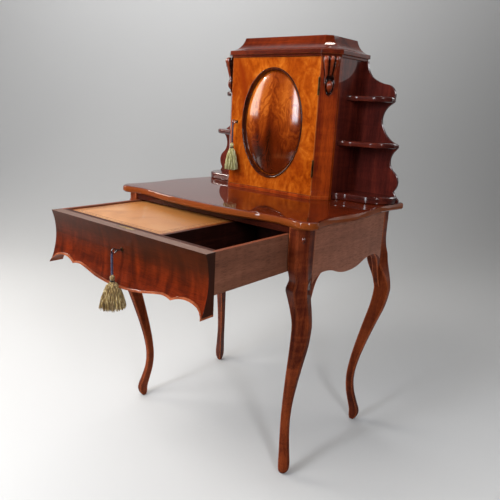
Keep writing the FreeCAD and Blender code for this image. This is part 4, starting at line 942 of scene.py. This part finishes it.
room = bpy.data.worlds.new("room")
scene.world = room
room.use_nodes = True
air = room.node_tree
away = air.nodes.new("ShaderNodeTexCoord")
face_back = air.nodes.new("ShaderNodeVectorMath")
face_back.operation = "DOT_PRODUCT"
face_back.inputs[1].default_value = (-0.35, 0.93, 0)
air.links.new(away.outputs["Generated"], face_back.inputs[0])
brightness = air.nodes.new("ShaderNodeMapRange")
for socket, value in (("From Min", 0.1), ("From Max", 0.55), ("To Min", 0.025), ("To Max", 0.9)):
    brightness.inputs[socket].default_value = value
air.links.new(face_back.outputs["Value"], brightness.inputs["Value"])
rays = air.nodes.new("ShaderNodeLightPath")
seen = air.nodes.new("ShaderNodeMix")
seen.data_type = "FLOAT"
air.links.new(rays.outputs["Is Camera Ray"], seen.inputs["Factor"])
air.links.new(brightness.outputs["Result"], seen.inputs["A"])
seen.inputs["B"].default_value = 0.7
air.links.new(seen.outputs["Result"], air.nodes["Background"].inputs["Strength"])
air.nodes["Background"].inputs["Color"].default_value = (1, 1, 1, 1)


def lamp(name, place, target, width, height, power, colour, mirrored=True, lights=True):
    """A soft box that faces a point of the table. It can light it, be mirrored in it, or both."""
    data = bpy.data.lights.new(name, "AREA")
    data.shape = "RECTANGLE"
    data.size, data.size_y = width, height
    data.energy = power
    data.color = colour
    thing = bpy.data.objects.new(name, data)
    thing.location = place
    thing.rotation_euler = (Vector(target) - Vector(place)).to_track_quat("-Z", "Y").to_euler()
    thing.visible_camera = False
    thing.visible_glossy = mirrored
    thing.visible_diffuse = lights
    scene.collection.objects.link(thing)


lamp("key_lamp", (-0.8, -2.2, 3.1), (0, 0, 0.7), 2.2, 2.2, 118, (1, 0.97, 0.93), mirrored=False)
lamp("window_lamp", (-2.5, -0.9, 1.65), (0, 0.1, 0.9), 1.1, 1.3, 34, (1, 0.95, 0.88))
lamp("front_strip", (-0.25, -2.7, 1.6), (0, 0.2, 0.9), 0.42, 1.3, 32, (0.84, 0.91, 1))
lamp("side_lamp", (2.3, -1.5, 1.9), (0, 0.1, 0.8), 0.35, 1.2, 30, (0.93, 0.96, 1))
lamp("back_window", (1.9, 3.0, 2.5), (0, 0.1, 0.9), 1.6, 1.6, 50, (0.95, 0.97, 1), lights=False)
lamp("roof_light", (0.35, 0.7, 3.6), (0.2, 0.2, 0.9), 0.35, 0.12, 6, (1, 0.9, 0.8), lights=False)
lamp("high_window", (-2.45, -1.35, 2.15), (0, -0.2, 0.7), 0.3, 0.3, 50, (1, 0.95, 0.88), lights=False)
lamp("wall_lamp", (-1.9, 1.2, 3.9), (-2.4, 3.2, 1.6), 3.0, 3.0, 90, (1, 1, 1), mirrored=False)

scene.view_settings.view_transform = "Standard"
